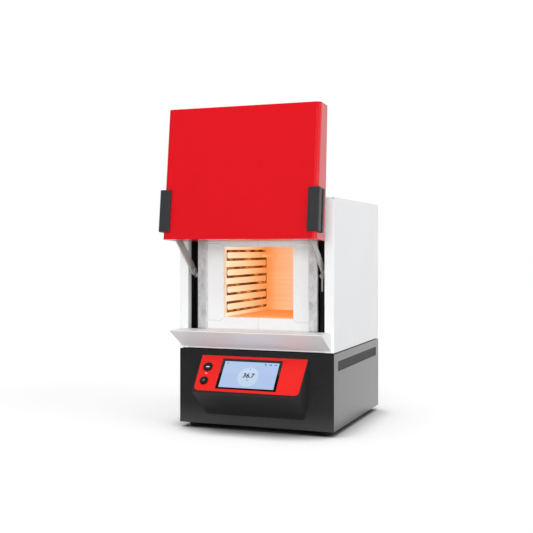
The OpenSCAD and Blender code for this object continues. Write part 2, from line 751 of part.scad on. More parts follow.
module insulation_panels() color("#e9e4da") difference() {
    union() {
        lining_back = chamber_back + rear_wall_t + seat;
        both_sides() block([chamber_half + wall_t + seat, wall_front + seat, hearth_z - hearth_t],
                           [case_x - seat, lining_back - seat, chamber_top + roof_t]);
        block([-case_x + seat, wall_front + seat, upper_z + sheet + seat],
              [case_x - seat, lining_back - seat, hearth_z - hearth_t - seat]);
        block([-case_x + seat, wall_front + seat, chamber_top + roof_t + seat],
              [case_x - seat, lining_back - seat, inner_top - seat]);
        block([-case_x + seat, lining_back, upper_z + sheet + seat],
              [case_x - seat, inner_back - seat, inner_top - seat]);
    }
    translate([0, flue_y, chamber_top]) cylinder(h = 200, d = flue_d + 1);
    for (s = [-1, 1], z = terminal_levels)
        translate([s * coil_x, chamber_back, z]) rotate([-90, 0, 0]) cylinder(h = 100, d = coil_d + 1);
    translate([sheath_x, chamber_back, sheath_z]) rotate([-90, 0, 0]) cylinder(h = 100, d = sheath_d + 1);
}

// Quarter bend of the element around (y, z), a turns about X from straight down
module element_bend(y, z, a) translate([coil_x, y, z]) rotate([0, 90, 0]) rotate([0, 0, a])
    rotate_extrude(angle = 90) translate([bend_r, 0]) circle(d = coil_d, $fn = 24);

// Coil as a round bar that follows the groove, with its two leads out of the back
module elements() color("#5b3418") both_sides() {
    for (i = [0 : runs - 1])
        translate([coil_x, path_front + bend_r, run_z(i)]) rotate([-90, 0, 0])
            cylinder(h = (i == 0 || i == runs - 1 ? chamber_back : path_back - bend_r) - path_front - bend_r,
                     d = coil_d, $fn = 24);
    for (i = [0 : runs - 2]) {
        front = i % 2 == 0;
        y = front ? path_front : path_back;
        c = y + (front ? bend_r : -bend_r);
        translate([coil_x, y, run_z(i) + bend_r]) cylinder(h = run_pitch - 2 * bend_r, d = coil_d, $fn = 24);
        element_bend(c, run_z(i) + bend_r, front ? 270 : 0);
        element_bend(c, run_z(i + 1) - bend_r, front ? 180 : 90);
    }
    for (z = terminal_levels)
        translate([coil_x, chamber_back - 1, z]) rotate([-90, 0, 0])
            cylinder(h = lead_end - chamber_back, d = lead_d, $fn = 24);
}

module element_terminals() color("#e8e6df") difference() {
    for (s = [-1, 1], z = terminal_levels)
        block([s * coil_x - 11, inner_back + sheet + seat, z - 14],
              [s * coil_x + 11, inner_back + 22, z + 14]);
    for (s = [-1, 1], z = terminal_levels) translate([s * coil_x, inner_back, z])
        rotate([-90, 0, 0]) cylinder(h = 100, d = lead_d + 2 * run_fit);
}

module thermocouple() color("#d9a066") translate([sheath_x, 0, sheath_z]) rotate([-90, 0, 0]) {
    translate([0, 0, chamber_back - sheath_reach])
        cylinder(h = inner_back + 12 - chamber_back + sheath_reach, d = sheath_d);
    translate([0, 0, inner_back + sheet + seat]) cylinder(h = 20, d = 20);
}

flue_y = chamber_back - 124;

module flue_tube() color("#e7e2d8") translate([0, flue_y, chamber_top + seat]) difference() {
    union() {
        cylinder(h = roof_t + 10, d = flue_d - 4 - 2 * run_fit);
        translate([0, 0, roof_t]) cylinder(h = case_top + flue_out - chamber_top - roof_t, d = flue_d);
    }
    translate([0, 0, -1]) cylinder(h = 300, d = flue_bore);
}

// Screws of the flue collar
module at_collar_screws() translate([0, flue_y, case_top])
    for (a = [45 : 90 : 315]) rotate([0, 0, a]) translate([flue_d / 2 + 9, 0, 0]) children();

collar_t = 2;

module flue_collar() color("#c3c6c8") difference() {
    translate([0, flue_y, case_top + seat]) difference() {
        union() {
            cylinder(h = collar_t, d = flue_d + 30);
            cylinder(h = 8, d = flue_d + 6);
        }
        translate([0, 0, -1]) cylinder(h = 20, d = flue_d + 2 * run_fit);
    }
    at_collar_screws() translate([0, 0, -1]) cylinder(h = 5, d = 3.4, $fn = 24);
}

module collar_screws() color("#b4b7b9") at_collar_screws() {
    translate([0, 0, collar_t + 2 * seat]) screw_head(6, 1.8);
    translate([0, 0, -sheet - 4]) cylinder(h = sheet + 4 + collar_t + 0.5, d = 3, $fn = 24);
}

// Lift mechanism

arm_in = arm_x - arm_t / 2;
arm_out = arm_x + arm_t / 2;
head_t = 2.4;
eye_w = 7;
washer_t = 1.2;

// Shoulder stud of one fixed pivot, seated on the flange's return
module pivot_stud(p) {
    cross_bar(arm_in - soft_seat, slot_x - seat, p[0], p[1], stud_d);
    cross_bar(arm_in - soft_seat - head_t, arm_in - soft_seat, p[0], p[1], stud_d + 6);
    cross_bar(arm_out + soft_seat, slot_x - seat, p[0], p[1], stud_d + 6);
}

module pivot_studs() color("#c9ccce") both_sides() {
    pivot_stud(lower_pivot);
    pivot_stud(upper_pivot);
    // Fixed lower pin of the strut, seated on the channel's inner wall
    cross_bar(channel_in + seat, strut_x + eye_w / 2 + soft_seat + washer_t, strut_pin[0], strut_pin[1],
              strut_pin_d);
    for (x = [channel_in + seat, strut_x + eye_w / 2 + soft_seat])
        cross_bar(x, x > strut_x ? x + washer_t : strut_x - eye_w / 2 - soft_seat, strut_pin[0], strut_pin[1],
                  2 * eye_hole_r + 4);
}

// Flat bar from p along angle a, drawn in (Y, Z), with a tail of length t behind p
module bar_shape(p, a, len, t) translate(p) rotate(180 - a) {
    translate([0, -arm_w / 2]) square([len, arm_w]);
    circle(d = arm_w);
    translate([len, 0]) circle(d = arm_w);
    if (t > 0) {
        translate([-t, -arm_w / 3]) square([t, arm_w * 2 / 3]);
        translate([-t, 0]) circle(d = arm_w * 2 / 3);
    }
}

module lower_arms() color("#b3b6b8") both_sides() difference() {
    side_plate(arm_in, arm_t) bar_shape(lower_pivot, lower_angle, lower_len, tail_r);
    cross_bar(arm_in - 1, arm_out + 1, lower_pivot[0], lower_pivot[1], stud_d + 2 * run_fit);
    cross_bar(arm_in - 1, arm_out + 1, lower_pin[0], lower_pin[1], pin_d + 2 * run_fit);
}

module upper_arms() color("#b3b6b8") both_sides() difference() {
    side_plate(arm_in, arm_t) bar_shape(upper_pivot, upper_angle, upper_len, 0);
    cross_bar(arm_in - 1, arm_out + 1, upper_pivot[0], upper_pivot[1], stud_d + 2 * run_fit);
    cross_bar(arm_in - 1, arm_out + 1, upper_pin[0], upper_pin[1], pin_d + 2 * upper_slack);
}

module tail_pins() color("#d4d6d8") both_sides() {
    eye_in = strut_x - eye_w / 2 - soft_seat;
    cross_bar(eye_in - 1, arm_in - seat, tail[0], tail[1], strut_pin_d);
    cross_bar(eye_in - 2, eye_in, tail[0], tail[1], strut_pin_d + 3);
    cross_bar(strut_x + eye_w / 2 + soft_seat, arm_in - seat, tail[0], tail[1], strut_pin_d + 4);
}

// Strut frame: origin on the tail pin, -Z down along the strut
module on_strut() translate([strut_x, tail[0], tail[1]]) rotate([strut_angle, 0, 0]) children();

module strut_rods() color("#cfd1d3") both_sides() on_strut() difference() {
    union() {
        cross_bar(-eye_w / 2, eye_w / 2, 0, 0, 14);
        translate([0, 0, -rod_end]) cylinder(h = rod_end - 5, d = rod_d);
        translate([0, 0, -rod_end]) cylinder(h = piston_h, d = tube_d - 3);
    }
    cross_bar(-eye_w, eye_w, 0, 0, strut_pin_d + 2 * run_fit);
}

module strut_cylinders() color("#121213") both_sides() on_strut() difference() {
    union() {
        translate([0, 0, -strut_len + tube_low]) cylinder(h = strut_len - tube_low - rod_shown, d = tube_d);
        cross_bar(-eye_w / 2, eye_w / 2, 0, -strut_len, 2 * eye_hole_r + 6);
        block([-eye_w / 2, -6, eye_hole_r + 1 - strut_len], [eye_w / 2, 6, tube_low + 1 - strut_len]);
    }
    translate([0, 0, -rod_shown - rod_neck - 1]) cylinder(h = rod_neck + 2, d = rod_d + 2 * run_fit);
    translate([0, 0, -rod_end - 14])
        cylinder(h = rod_end + 14 - rod_shown - rod_neck, d = tube_d - 3 + 2 * run_fit);
    cross_bar(-eye_w, eye_w, 0, -strut_len, 2 * eye_hole_r);
}

module door_switch() color("#27292b")
    block([channel_in + seat, channel_back - 22, lower_pivot[1] - 45],
          [channel_in + 14, channel_back - seat, lower_pivot[1] - 5]);

// Door

module in_door() translate([0, open_y, open_z]) rotate([-door_lean, 0, 0]) children();

// Plan of the door's pan, drawn in (X, Y) with the front face at y = inset
module pan_outline(inset) {
    w = door_w / 2 - inset;
    r = door_edge_r - inset;
    translate([-w + r, inset]) square([2 * (w - r), r]);
    translate([-w, inset + r]) square([2 * w, door_t_bottom + 40]);
    for (s = [-1, 1]) translate([s * (w - r), inset + r]) circle(r = r);
}

// Wedge of the door's pan between two heights and in front of the plane y = back
module pan_wedge(inset, low, high, back) intersection() {
    translate([0, -door_t_bottom, 0]) rotate([-door_slope, 0, 0]) translate([0, 0, -20])
        linear_extrude(door_h + 60) pan_outline(inset);
    block([-door_w / 2 - 1, -door_t_bottom - 10, low], [door_w / 2 + 1, back, high]);
}

notch_u = pin_u + 9;

module door_shell() color("#d81a28") in_door() difference() {
    pan_wedge(0, 0, door_h, 0);
    pan_wedge(sheet, sheet, door_h - sheet, -sheet);
    // Rear window inside the folded returns
    block([-door_w / 2 + pan_return, -sheet - 1, 12], [door_w / 2 - pan_return, 1, door_h - 12]);
    // Notches through which the lift arms pass
    both_sides() block([arm_in - 2, -notch_u, -1], [arm_out + 2, 1, 13]);
}

module door_liner() color("#a9acae") in_door() difference() {
    union() {
        block([-liner_half, -2 * sheet - seat, 3], [liner_half, -sheet - seat, door_h - 3]);
        both_sides() block([liner_half - sheet, -42, 8], [liner_half, -2 * sheet, door_h - 8]);
    }
    block([-plug_half + 12, -10, plug_low + 12], [plug_half - 12, 1, plug_high - 12]);
}

module door_insulation() color("#ece7dc") in_door() intersection() {
    pan_wedge(sheet + seat, 8, door_h - 8, -13);
    block([-liner_half + sheet + seat, -100, 8], [liner_half - sheet - seat, 0, door_h - 8]);
}

module door_plug() color("#f1ece0") in_door() {
    // Tile that fills the mouth of the furnace, with its edges eased
    intersection() {
        block([-plug_half, -sheet, plug_low], [plug_half, plug_t, plug_high]);
        side_plate(-plug_half - 1, 2 * plug_half + 2)
            polygon([[-sheet, plug_low], [plug_t - 4, plug_low], [plug_t, plug_low + 4],
                     [plug_t, plug_high - 4], [plug_t - 4, plug_high], [-sheet, plug_high]]);
    }
    block([-plug_half + 12 + seat, -13 + seat, plug_low + 12 + seat],
          [plug_half - 12 - seat, 0, plug_high - 12 - seat]);
}

bracket_t = 3;
bracket_out = arm_in - soft_seat;
bracket_in = bracket_out - bracket_t;

module door_brackets() color("#9ea1a3") in_door() both_sides() {
    block([bracket_in, -pin_u - 9, pin_v - 9], [bracket_out, -pin_u + 12, pin_v + pin_spacing + 12]);
    for (z = [pin_v + 35, pin_v + pin_spacing - 35])
        block([liner_half + seat, -pin_u + 4, z - 12], [bracket_in, -pin_u + 12, z + 12]);
}

module door_pins() color("#d4d6d8") in_door() both_sides() for (v = [pin_v, pin_v + pin_spacing]) {
    cross_bar(bracket_out + seat, arm_out + soft_seat + 1, -pin_u, v, pin_d);
    cross_bar(arm_out + soft_seat, arm_out + soft_seat + 2, -pin_u, v, pin_d + 10);
}

// Handle frame: origin at the foot of the handle on the door's front edge, +Z up along its face
module on_edge() in_door() translate([door_w / 2, -door_t_bottom, 0]) rotate([-door_slope, 0, 0])
    translate([0, 0, handle_v]) children();

handle_front_w = 30;
handle_side_w = 44;

// Plan of the right-hand handle: an angle with a groove in its side leg
module handle_outline() difference() {
    union() {
        translate([-handle_front_w + handle_t, -handle_t]) square([handle_front_w - 3, handle_t - soft_seat]);
        translate([soft_seat, -handle_t + 3]) square([handle_t - soft_seat, handle_side_w - 3]);
        translate([handle_t - 3, -handle_t + 3]) circle(r = 3);
        // Fill between the legs, outside the door's rounded edge
        difference() {
            translate([-door_edge_r, -handle_t + 1]) square(door_edge_r + handle_t - 1);
            translate([-door_edge_r, door_edge_r]) circle(r = door_edge_r + soft_seat);
        }
    }
    translate([handle_t - 4, 13]) square([5, 11]);
}

module door_handles() color("#38393b") both_sides() on_edge() linear_extrude(handle_h) handle_outline();

module handle_screws() color("#0c0c0c") both_sides() on_edge() for (z = [10, handle_h - 10])
    translate([handle_t - 4 + seat, 18.5, z]) rotate([0, 90, 0]) screw_head(8, 2.2);

placed() feet();
placed() base_tray();
placed() base_front_panel();
placed() base_side_panels();
placed() vent_grilles();
placed() base_rear_panel();
placed() mid_deck();
placed() console_housing();
placed() console_overlay();
placed() display_glass();
placed() display_module();
placed() usb_port();
placed() power_switch_body();
placed() power_button();
placed() console_screws();
placed() controller_board();
placed() relay_heat_sink();
placed() solid_state_relay();
placed() terminal_rail();
placed() terminal_blocks();
placed() cable_gland();
placed() side_panels();
placed() top_cover();
placed() header_panel();
placed() rear_panel();
placed() rear_screws();
placed() sill();
placed() inner_case();
placed() slot_channels();
placed() face_strips();
placed() front_side_boards();
placed() front_cross_boards();
placed() chamber_walls();
placed() chamber_roof();
placed() hearth_tile();
placed() chamber_rear();
placed() insulation_panels();
placed() elements();
placed() element_terminals();
placed() thermocouple();
placed() flue_tube();
placed() flue_collar();
placed() collar_screws();
placed() pivot_studs();
placed() door_switch();
placed() lower_arms();
placed() tail_pins();
placed() upper_arms();
placed() strut_rods();
placed() strut_cylinders();
placed() door_shell();
placed() door_liner();
placed() door_insulation();
placed() door_plug();
placed() door_brackets();
placed() door_pins();
placed() door_handles();
placed() handle_screws();
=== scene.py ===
import json
import math

import bpy
from mathutils import Matrix, Vector


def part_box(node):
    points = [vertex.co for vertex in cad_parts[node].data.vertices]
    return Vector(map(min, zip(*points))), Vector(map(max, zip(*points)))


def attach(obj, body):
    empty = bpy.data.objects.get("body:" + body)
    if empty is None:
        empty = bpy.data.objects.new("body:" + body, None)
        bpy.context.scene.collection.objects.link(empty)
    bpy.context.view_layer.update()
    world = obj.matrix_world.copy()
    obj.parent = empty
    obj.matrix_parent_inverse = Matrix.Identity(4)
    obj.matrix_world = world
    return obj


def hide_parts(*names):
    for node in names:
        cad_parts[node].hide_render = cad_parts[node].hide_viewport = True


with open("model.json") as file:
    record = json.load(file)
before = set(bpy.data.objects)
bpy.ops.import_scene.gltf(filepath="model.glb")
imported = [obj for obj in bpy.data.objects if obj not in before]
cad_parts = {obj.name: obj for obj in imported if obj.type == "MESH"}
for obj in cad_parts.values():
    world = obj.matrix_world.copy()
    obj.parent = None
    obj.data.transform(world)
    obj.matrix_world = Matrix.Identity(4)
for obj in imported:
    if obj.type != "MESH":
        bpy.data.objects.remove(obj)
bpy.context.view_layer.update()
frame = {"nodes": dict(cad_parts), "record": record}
print("frame loaded:", len(frame["nodes"]), "nodes")

mm = 0.001
record = frame["record"]
nodeBody = {node: body for body, nodes in record["behaviour"]["bodies"].items() for node in nodes}


# A hex colour as sRGB, turned to the linear values that shaders take
def linear(hexColour):
    channels = [int(hexColour[i:i + 2], 16) / 255 for i in (1, 3, 5)]
    return [c / 12.92 if c <= 0.04045 else ((c + 0.055) / 1.055) ** 2.4 for c in channels] + [1.0]


# The same colour made darker or lighter
def tone(hexColour, share):
    return [min(1.0, c * share) for c in linear(hexColour)[:3]] + [1.0]


# Scale of a noise whose features are about this many millimetres across
def noiseScale(size):
    return 0.5 / (size * mm)


# Sets inputs of a node: each takes a value, a node for its first output, or a (node, output) pair
def feed(tree, node, inputs):
    for name, value in inputs.items():
        source, output = value if isinstance(value, tuple) and hasattr(value[0], "outputs") else (value, 0)
        if hasattr(source, "outputs"):
            tree.links.new(source.outputs[output], node.inputs[name])
        else:
            node.inputs[name].default_value = value


# Adds a node with its inputs and properties; the stops of a ramp are (place, hex colour or grey value)
def addNode(tree, kind, inputs, stops=None, **properties):
    node = tree.nodes.new(kind)
    for name, value in properties.items():
        setattr(node, name, value)
    if stops:
        elements = node.color_ramp.elements
        while len(elements) < len(stops):
            elements.new(0.5)
        for element, (at, colour) in zip(elements, stops):
            element.position = at
            element.color = linear(colour) if isinstance(colour, str) else [colour] * 3 + [1.0]
    feed(tree, node, inputs)
    return node


mixing = {"data_type": "RGBA"}
multiplying = {"data_type": "RGBA", "blend_type": "MULTIPLY"}


# A new material with its shader, and the values that are the same all over set on the shader
def startMaterial(name, values):
    material = bpy.data.materials.new(name)
    material.use_nodes = True
    tree = material.node_tree
    shader = tree.nodes["Principled BSDF"]
    feed(tree, shader, values)
    return material, tree, shader


# Where a pattern lies on its piece, in metres, drawn out along an axis whose scale is below 1
def onPiece(tree, scale=(1, 1, 1)):
    coordinates = addNode(tree, "ShaderNodeTexCoord", {})
    return addNode(tree, "ShaderNodeMapping", {"Vector": (coordinates, "Object"), "Scale": scale})


# Colours that follow one axis of the piece from low to high
def alongAxis(tree, axis, low, high, stops):
    parts = addNode(tree, "ShaderNodeSeparateXYZ", {"Vector": onPiece(tree)})
    span = addNode(tree, "ShaderNodeMapRange", {"Value": (parts, axis), "From Min": low, "From Max": high})
    return addNode(tree, "ShaderNodeValToRGB", {"Fac": span}, stops)


# Sizes in the looks are in millimetres, and dark and light are shares of the colour
coatLook = {"cloud": 90, "dark": 0.96, "light": 1.03, "coatRoughness": 0.12, "speckFrom": 0.35, "speckTo": 0.65}


# Powder coat on sheet steel: baked polyester, even colour with a faint orange peel
def powderCoat(name, colour, grain, depth, roughness, coat=0.0, speckle=0.0):
    material, tree, shader = startMaterial(name, {"Roughness": roughness, "Coat Weight": coat,
                                                  "Coat Roughness": coatLook["coatRoughness"]})
    peel = addNode(tree, "ShaderNodeTexNoise", {"Vector": onPiece(tree), "Scale": noiseScale(grain), "Detail": 2.0})
    cloud = addNode(tree, "ShaderNodeTexNoise", {"Vector": onPiece(tree), "Scale": noiseScale(coatLook["cloud"]),
                                                 "Detail": 2.0})
    shade = addNode(tree, "ShaderNodeMix", {0: cloud, 6: tone(colour, coatLook["dark"] - speckle),
                                            7: tone(colour, coatLook["light"] + speckle)}, **mixing)
    if speckle:
        specks = addNode(tree, "ShaderNodeValToRGB", {"Fac": peel},
                         ((coatLook["speckFrom"], 1 - 2 * speckle), (coatLook["speckTo"], 1 + 2 * speckle)))
        shade = addNode(tree, "ShaderNodeMix", {0: 1.0, 6: (shade, 2), 7: specks}, **multiplying)
    bump = addNode(tree, "ShaderNodeBump", {"Height": peel, "Distance": depth * mm})
    feed(tree, shader, {"Base Color": (shade, 2), "Normal": bump})
    return material


mouldLook = {"detail": 4.0, "dark": 0.85, "light": 1.15}


# Moulded plastic, rubber or felted cloth: a fine even grain that breaks up the gloss
def moulded(name, colour, grain, depth, roughness):
    material, tree, shader = startMaterial(name, {"Roughness": roughness})
    noise = addNode(tree, "ShaderNodeTexNoise", {"Vector": onPiece(tree), "Scale": noiseScale(grain),
                                                 "Detail": mouldLook["detail"]})
    shade = addNode(tree, "ShaderNodeMix", {0: noise, 6: tone(colour, mouldLook["dark"]),
                                            7: tone(colour, mouldLook["light"])}, **mixing)
    bump = addNode(tree, "ShaderNodeBump", {"Height": noise, "Distance": depth * mm})
    feed(tree, shader, {"Base Color": (shade, 2), "Normal": bump})
    return material


zincLook = {"metallic": 0.4, "stretch": (1.6, 1.6, 1), "detail": 5.0, "broken": 0.62, "crystal": 1.4,
            "edgeAt": 0.3, "heartAt": 0.5, "farEdgeAt": 0.72, "facets": ((0.0, 0.93), (1.0, 1.05)),
            "bright": 0.36, "dull": 0.62, "fall": ((0.0, 0.86), (1.0, 1.0))}


# Hot-dip galvanised sheet: cloudy crystals of zinc with dull and bright patches. Across, in metres, is how far the
# sheet reaches to each side where it falls off in tone from right to left
def galvanised(name, dark, light, patch, across=None):
    material, tree, shader = startMaterial(name, {"Metallic": zincLook["metallic"]})
    stretch = onPiece(tree, zincLook["stretch"])
    cloud = addNode(tree, "ShaderNodeTexNoise", {"Vector": stretch, "Scale": noiseScale(patch),
                                                 "Detail": zincLook["detail"], "Roughness": zincLook["broken"]})
    crystal = addNode(tree, "ShaderNodeTexVoronoi", {"Vector": stretch, "Scale": zincLook["crystal"] / (patch * mm)})
    clouds = addNode(tree, "ShaderNodeValToRGB", {"Fac": cloud},
                     ((zincLook["edgeAt"], dark), (zincLook["heartAt"], light), (zincLook["farEdgeAt"], dark)))
    facets = addNode(tree, "ShaderNodeValToRGB", {"Fac": (crystal, "Color")}, zincLook["facets"])
    shade = addNode(tree, "ShaderNodeMix", {0: 1.0, 6: clouds, 7: facets}, **multiplying)
    if across:
        fall = alongAxis(tree, "X", -across, across, zincLook["fall"])
        shade = addNode(tree, "ShaderNodeMix", {0: 1.0, 6: (shade, 2), 7: fall}, **multiplying)
    rough = addNode(tree, "ShaderNodeMapRange", {"Value": cloud, "To Min": zincLook["bright"],
                                                 "To Max": zincLook["dull"]})
    feed(tree, shader, {"Base Color": (shade, 2), "Roughness": rough})
    return material


barLook = {"line": 0.8, "drawnOut": 0.02, "detail": 2.0, "dark": 0.82, "light": 1.12, "smoother": 0.7, "rougher": 1.4}


# Rolled, drawn or turned steel: fine lines along the bar, which streak its shine
def steelBar(name, colour, along, roughness, metallic):
    material, tree, shader = startMaterial(name, {"Metallic": metallic})
    drawnOut = [barLook["drawnOut"] if axis == along else 1.0 for axis in "XYZ"]
    lines = addNode(tree, "ShaderNodeTexNoise", {"Vector": onPiece(tree, drawnOut),
                                                 "Scale": noiseScale(barLook["line"]), "Detail": barLook["detail"]})
    shade = addNode(tree, "ShaderNodeMix", {0: lines, 6: tone(colour, barLook["dark"]),
                                            7: tone(colour, barLook["light"])}, **mixing)
    rough = addNode(tree, "ShaderNodeMapRange", {"Value": lines, "To Min": roughness * barLook["smoother"],
                                                 "To Max": roughness * barLook["rougher"]})
    feed(tree, shader, {"Base Color": (shade, 2), "Roughness": rough})
    return material


boardLook = {"fibre": 5, "fibreDetail": 6.0, "fibreBroken": 0.6, "fibreTint": ((0.3, 0.965), (0.7, 1.0)), "cloud": 45,
             "dark": 0.955, "light": 1.02, "paintedLightLift": ((0.0, 0.86), (1.0, 1.0)), "depth": 0.12,
             "paintedRevealColours": ((0.0, "#000000"), (0.12, "#000000"), (0.3, "#fffbd3"), (1.0, "#fff0c4"))}


# Vacuum-formed ceramic fibre board: chalky, with faint matted fibres. Colours with depth paint warm light from the
# chamber onto the board's edge; heights mark where the board turns lighter upwards, painted light against the shade
# under the door; and a strength gives the edge a painted glow in place of light from the chamber
def fibreBoard(name, colour, paintedWarmth=None, low=0.0, high=1.0, paintedLightHeights=None, paintedRevealGlow=0.0):
    material, tree, shader = startMaterial(name, {"Roughness": 0.95, "Specular IOR Level": 0.2,
                                                  "Emission Strength": paintedRevealGlow})
    fibres = addNode(tree, "ShaderNodeTexNoise", {"Vector": onPiece(tree), "Scale": noiseScale(boardLook["fibre"]),
                                                  "Detail": boardLook["fibreDetail"],
                                                  "Roughness": boardLook["fibreBroken"]})
    cloud = addNode(tree, "ShaderNodeTexNoise", {"Vector": onPiece(tree), "Scale": noiseScale(boardLook["cloud"]),
                                                 "Detail": 3.0})
    shade = addNode(tree, "ShaderNodeMix", {0: cloud, 6: tone(colour, boardLook["dark"]),
                                            7: tone(colour, boardLook["light"])}, **mixing)
    layers = [addNode(tree, "ShaderNodeValToRGB", {"Fac": fibres}, boardLook["fibreTint"])]
    if paintedWarmth:
        layers.append(alongAxis(tree, "Y", low, high, paintedWarmth))
    if paintedLightHeights:
        layers.append(alongAxis(tree, "Z", *paintedLightHeights, boardLook["paintedLightLift"]))
    for layer in layers:
        shade = addNode(tree, "ShaderNodeMix", {0: 1.0, 6: (shade, 2), 7: layer}, **multiplying)
    if paintedRevealGlow:
        feed(tree, shader, {"Emission Color": alongAxis(tree, "Y", low, high, boardLook["paintedRevealColours"])})
    bump = addNode(tree, "ShaderNodeBump", {"Height": fibres, "Distance": boardLook["depth"] * mm})
    feed(tree, shader, {"Base Color": (shade, 2), "Normal": bump})
    return material


# The chamber's boards give off a painted glow that stands in for light in the chamber
paintedGlowLook = {"paintedGlowStrength": 0.93, "share": 0.3, "fibre": 2.6, "drawnOut": 0.03, "streak": 0.055, "streakFrom": 0.3,
            "streakTo": 0.65, "depth": 0.1, "grooveFrom": 0.4, "grooveTo": 2.2, "grooveShadeColour": "#9a5a22",
            "grooveShadeGlow": "#6e3a10"}


# Fibre board with painted light: the colour runs along one axis, and the board gives off some light itself, a painted
# glow in place of the light in the chamber
def paintedGlowBoard(name, axis, low, high, stops, grooveStart=None, streaks="Y"):
    material, tree, shader = startMaterial(name, {"Roughness": 0.9, "Specular IOR Level": 0.1,
                                                  "Emission Strength": paintedGlowLook["paintedGlowStrength"]})
    paintedWarmth = alongAxis(tree, axis, low, high, stops)
    drawnOut = [paintedGlowLook["drawnOut"] if side == streaks else 1.0 for side in "XYZ"]
    fibres = addNode(tree, "ShaderNodeTexNoise", {"Vector": onPiece(tree, drawnOut),
                                                  "Scale": noiseScale(paintedGlowLook["fibre"]), "Detail": 4.0})
    lines = addNode(tree, "ShaderNodeValToRGB", {"Fac": fibres},
                    ((paintedGlowLook["streakFrom"], 1 - 2 * paintedGlowLook["streak"]), (paintedGlowLook["streakTo"], 1.0)))
    glow = base = addNode(tree, "ShaderNodeMix", {0: 1.0, 6: paintedWarmth, 7: lines}, **multiplying)
    if grooveStart:
        # Inside the grooves the board takes painted shade: a darker brown colour and a weaker glow
        parts = addNode(tree, "ShaderNodeSeparateXYZ", {"Vector": onPiece(tree)})
        reach = addNode(tree, "ShaderNodeMath", {0: (parts, "X")}, operation="ABSOLUTE")
        grooveShadeMask = addNode(tree, "ShaderNodeMapRange", {"Value": reach,
                                                      "From Min": grooveStart + paintedGlowLook["grooveFrom"] * mm,
                                                      "From Max": grooveStart + paintedGlowLook["grooveTo"] * mm})
        base = addNode(tree, "ShaderNodeMix", {0: grooveShadeMask, 6: (glow, 2), 7: linear(paintedGlowLook["grooveShadeColour"])}, **mixing)
        glow = addNode(tree, "ShaderNodeMix", {0: grooveShadeMask, 6: (glow, 2), 7: linear(paintedGlowLook["grooveShadeGlow"])}, **mixing)
    base = addNode(tree, "ShaderNodeMix", {0: 1.0, 6: (base, 2), 7: [paintedGlowLook["share"]] * 3 + [1.0]}, **multiplying)
    bump = addNode(tree, "ShaderNodeBump", {"Height": fibres, "Distance": paintedGlowLook["depth"] * mm})
    feed(tree, shader, {"Base Color": (base, 2), "Emission Color": (glow, 2), "Normal": bump})
    return material


plainLook = {"detail": 3.0, "dark": 0.9, "light": 1.06, "depth": 0.04}


# Finish for small and hidden pieces: even, with a trace of grain from how they were made
def plain(name, colour, roughness=0.5, metallic=0.0, grain=2.0):
    material, tree, shader = startMaterial(name, {"Roughness": roughness, "Metallic": metallic})
    noise = addNode(tree, "ShaderNodeTexNoise", {"Vector": onPiece(tree), "Scale": noiseScale(grain),
                                                 "Detail": plainLook["detail"]})
    shade = addNode(tree, "ShaderNodeMix", {0: noise, 6: tone(colour, plainLook["dark"]),
                                            7: tone(colour, plainLook["light"])}, **mixing)
    bump = addNode(tree, "ShaderNodeBump", {"Height": noise, "Distance": plainLook["depth"] * mm})
    feed(tree, shader, {"Base Color": (shade, 2), "Normal": bump})
    return material


glassLook = {"coat": 0.5, "smear": 14, "stretch": (1, 0.4, 0.4), "light": 1.5, "wiped": 0.04, "smeared": 0.12}


# Float glass printed black on its back: deep and glossy, with faint smears from wiping
def printedGlass(name, colour):
    material, tree, shader = startMaterial(name, {"Coat Weight": glassLook["coat"]})
    smears = addNode(tree, "ShaderNodeTexNoise", {"Vector": onPiece(tree, glassLook["stretch"]),
                                                  "Scale": noiseScale(glassLook["smear"]), "Detail": 3.0})
    shade = addNode(tree, "ShaderNodeMix", {0: smears, 6: linear(colour), 7: tone(colour, glassLook["light"])},
                    **mixing)
    rough = addNode(tree, "ShaderNodeMapRange", {"Value": smears, "To Min": glassLook["wiped"],
                                                 "To Max": glassLook["smeared"]})
    feed(tree, shader, {"Base Color": (shade, 2), "Roughness": rough})
    return material


lcdLook = {"unlit": [0.02, 0.02, 0.025, 1.0], "roughness": 0.1, "coat": 0.3, "coatRoughness": 0.03, "cloud": 60,
           "dark": 0.97}


# Lit picture of the display, under glass: gives off its own light, a little uneven as a backlight is
def litDisplay(name, colour, strength, edge=None):
    material, tree, shader = startMaterial(name, {"Base Color": lcdLook["unlit"], "Roughness": lcdLook["roughness"],
                                                  "Coat Weight": lcdLook["coat"],
                                                  "Coat Roughness": lcdLook["coatRoughness"],
                                                  "Emission Strength": strength})
    cloud = addNode(tree, "ShaderNodeTexNoise", {"Vector": onPiece(tree), "Scale": noiseScale(lcdLook["cloud"]),
                                                 "Detail": 1.0})
    shade = addNode(tree, "ShaderNodeMix", {0: cloud, 6: linear(edge) if edge else tone(colour, lcdLook["dark"]),
                                            7: linear(colour)}, **mixing)
    feed(tree, shader, {"Emission Color": (shade, 2)})
    return material


wireLook = {"roughness": 0.65, "metallic": 0.2, "paintedGlowStrength": 0.4, "patch": 26,
            "oxideAndGlintColours": ((0.34, "#4a210a"), (0.5, "#8c4c14"), (0.64, "#dc9640"))}


# Wound resistance wire: oxidised brown, with patches of painted glow and painted golden glints
def heatingWire(name):
    material, tree, shader = startMaterial(name, {"Roughness": wireLook["roughness"],
                                                  "Metallic": wireLook["metallic"],
                                                  "Emission Strength": wireLook["paintedGlowStrength"]})
    patches = addNode(tree, "ShaderNodeTexNoise", {"Vector": onPiece(tree), "Scale": noiseScale(wireLook["patch"]),
                                                   "Detail": 3.0})
    colour = addNode(tree, "ShaderNodeValToRGB", {"Fac": patches}, wireLook["oxideAndGlintColours"])
    feed(tree, shader, {"Base Color": colour, "Emission Color": colour})
    return material


chamberLow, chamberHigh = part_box("chamber_walls")
chamberFront, chamberBack = chamberLow.y, chamberHigh.y
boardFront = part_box("front_side_boards")[0].y
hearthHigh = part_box("hearth_tile")[1]
chamberHalf = hearthHigh.x + 0.2 * mm

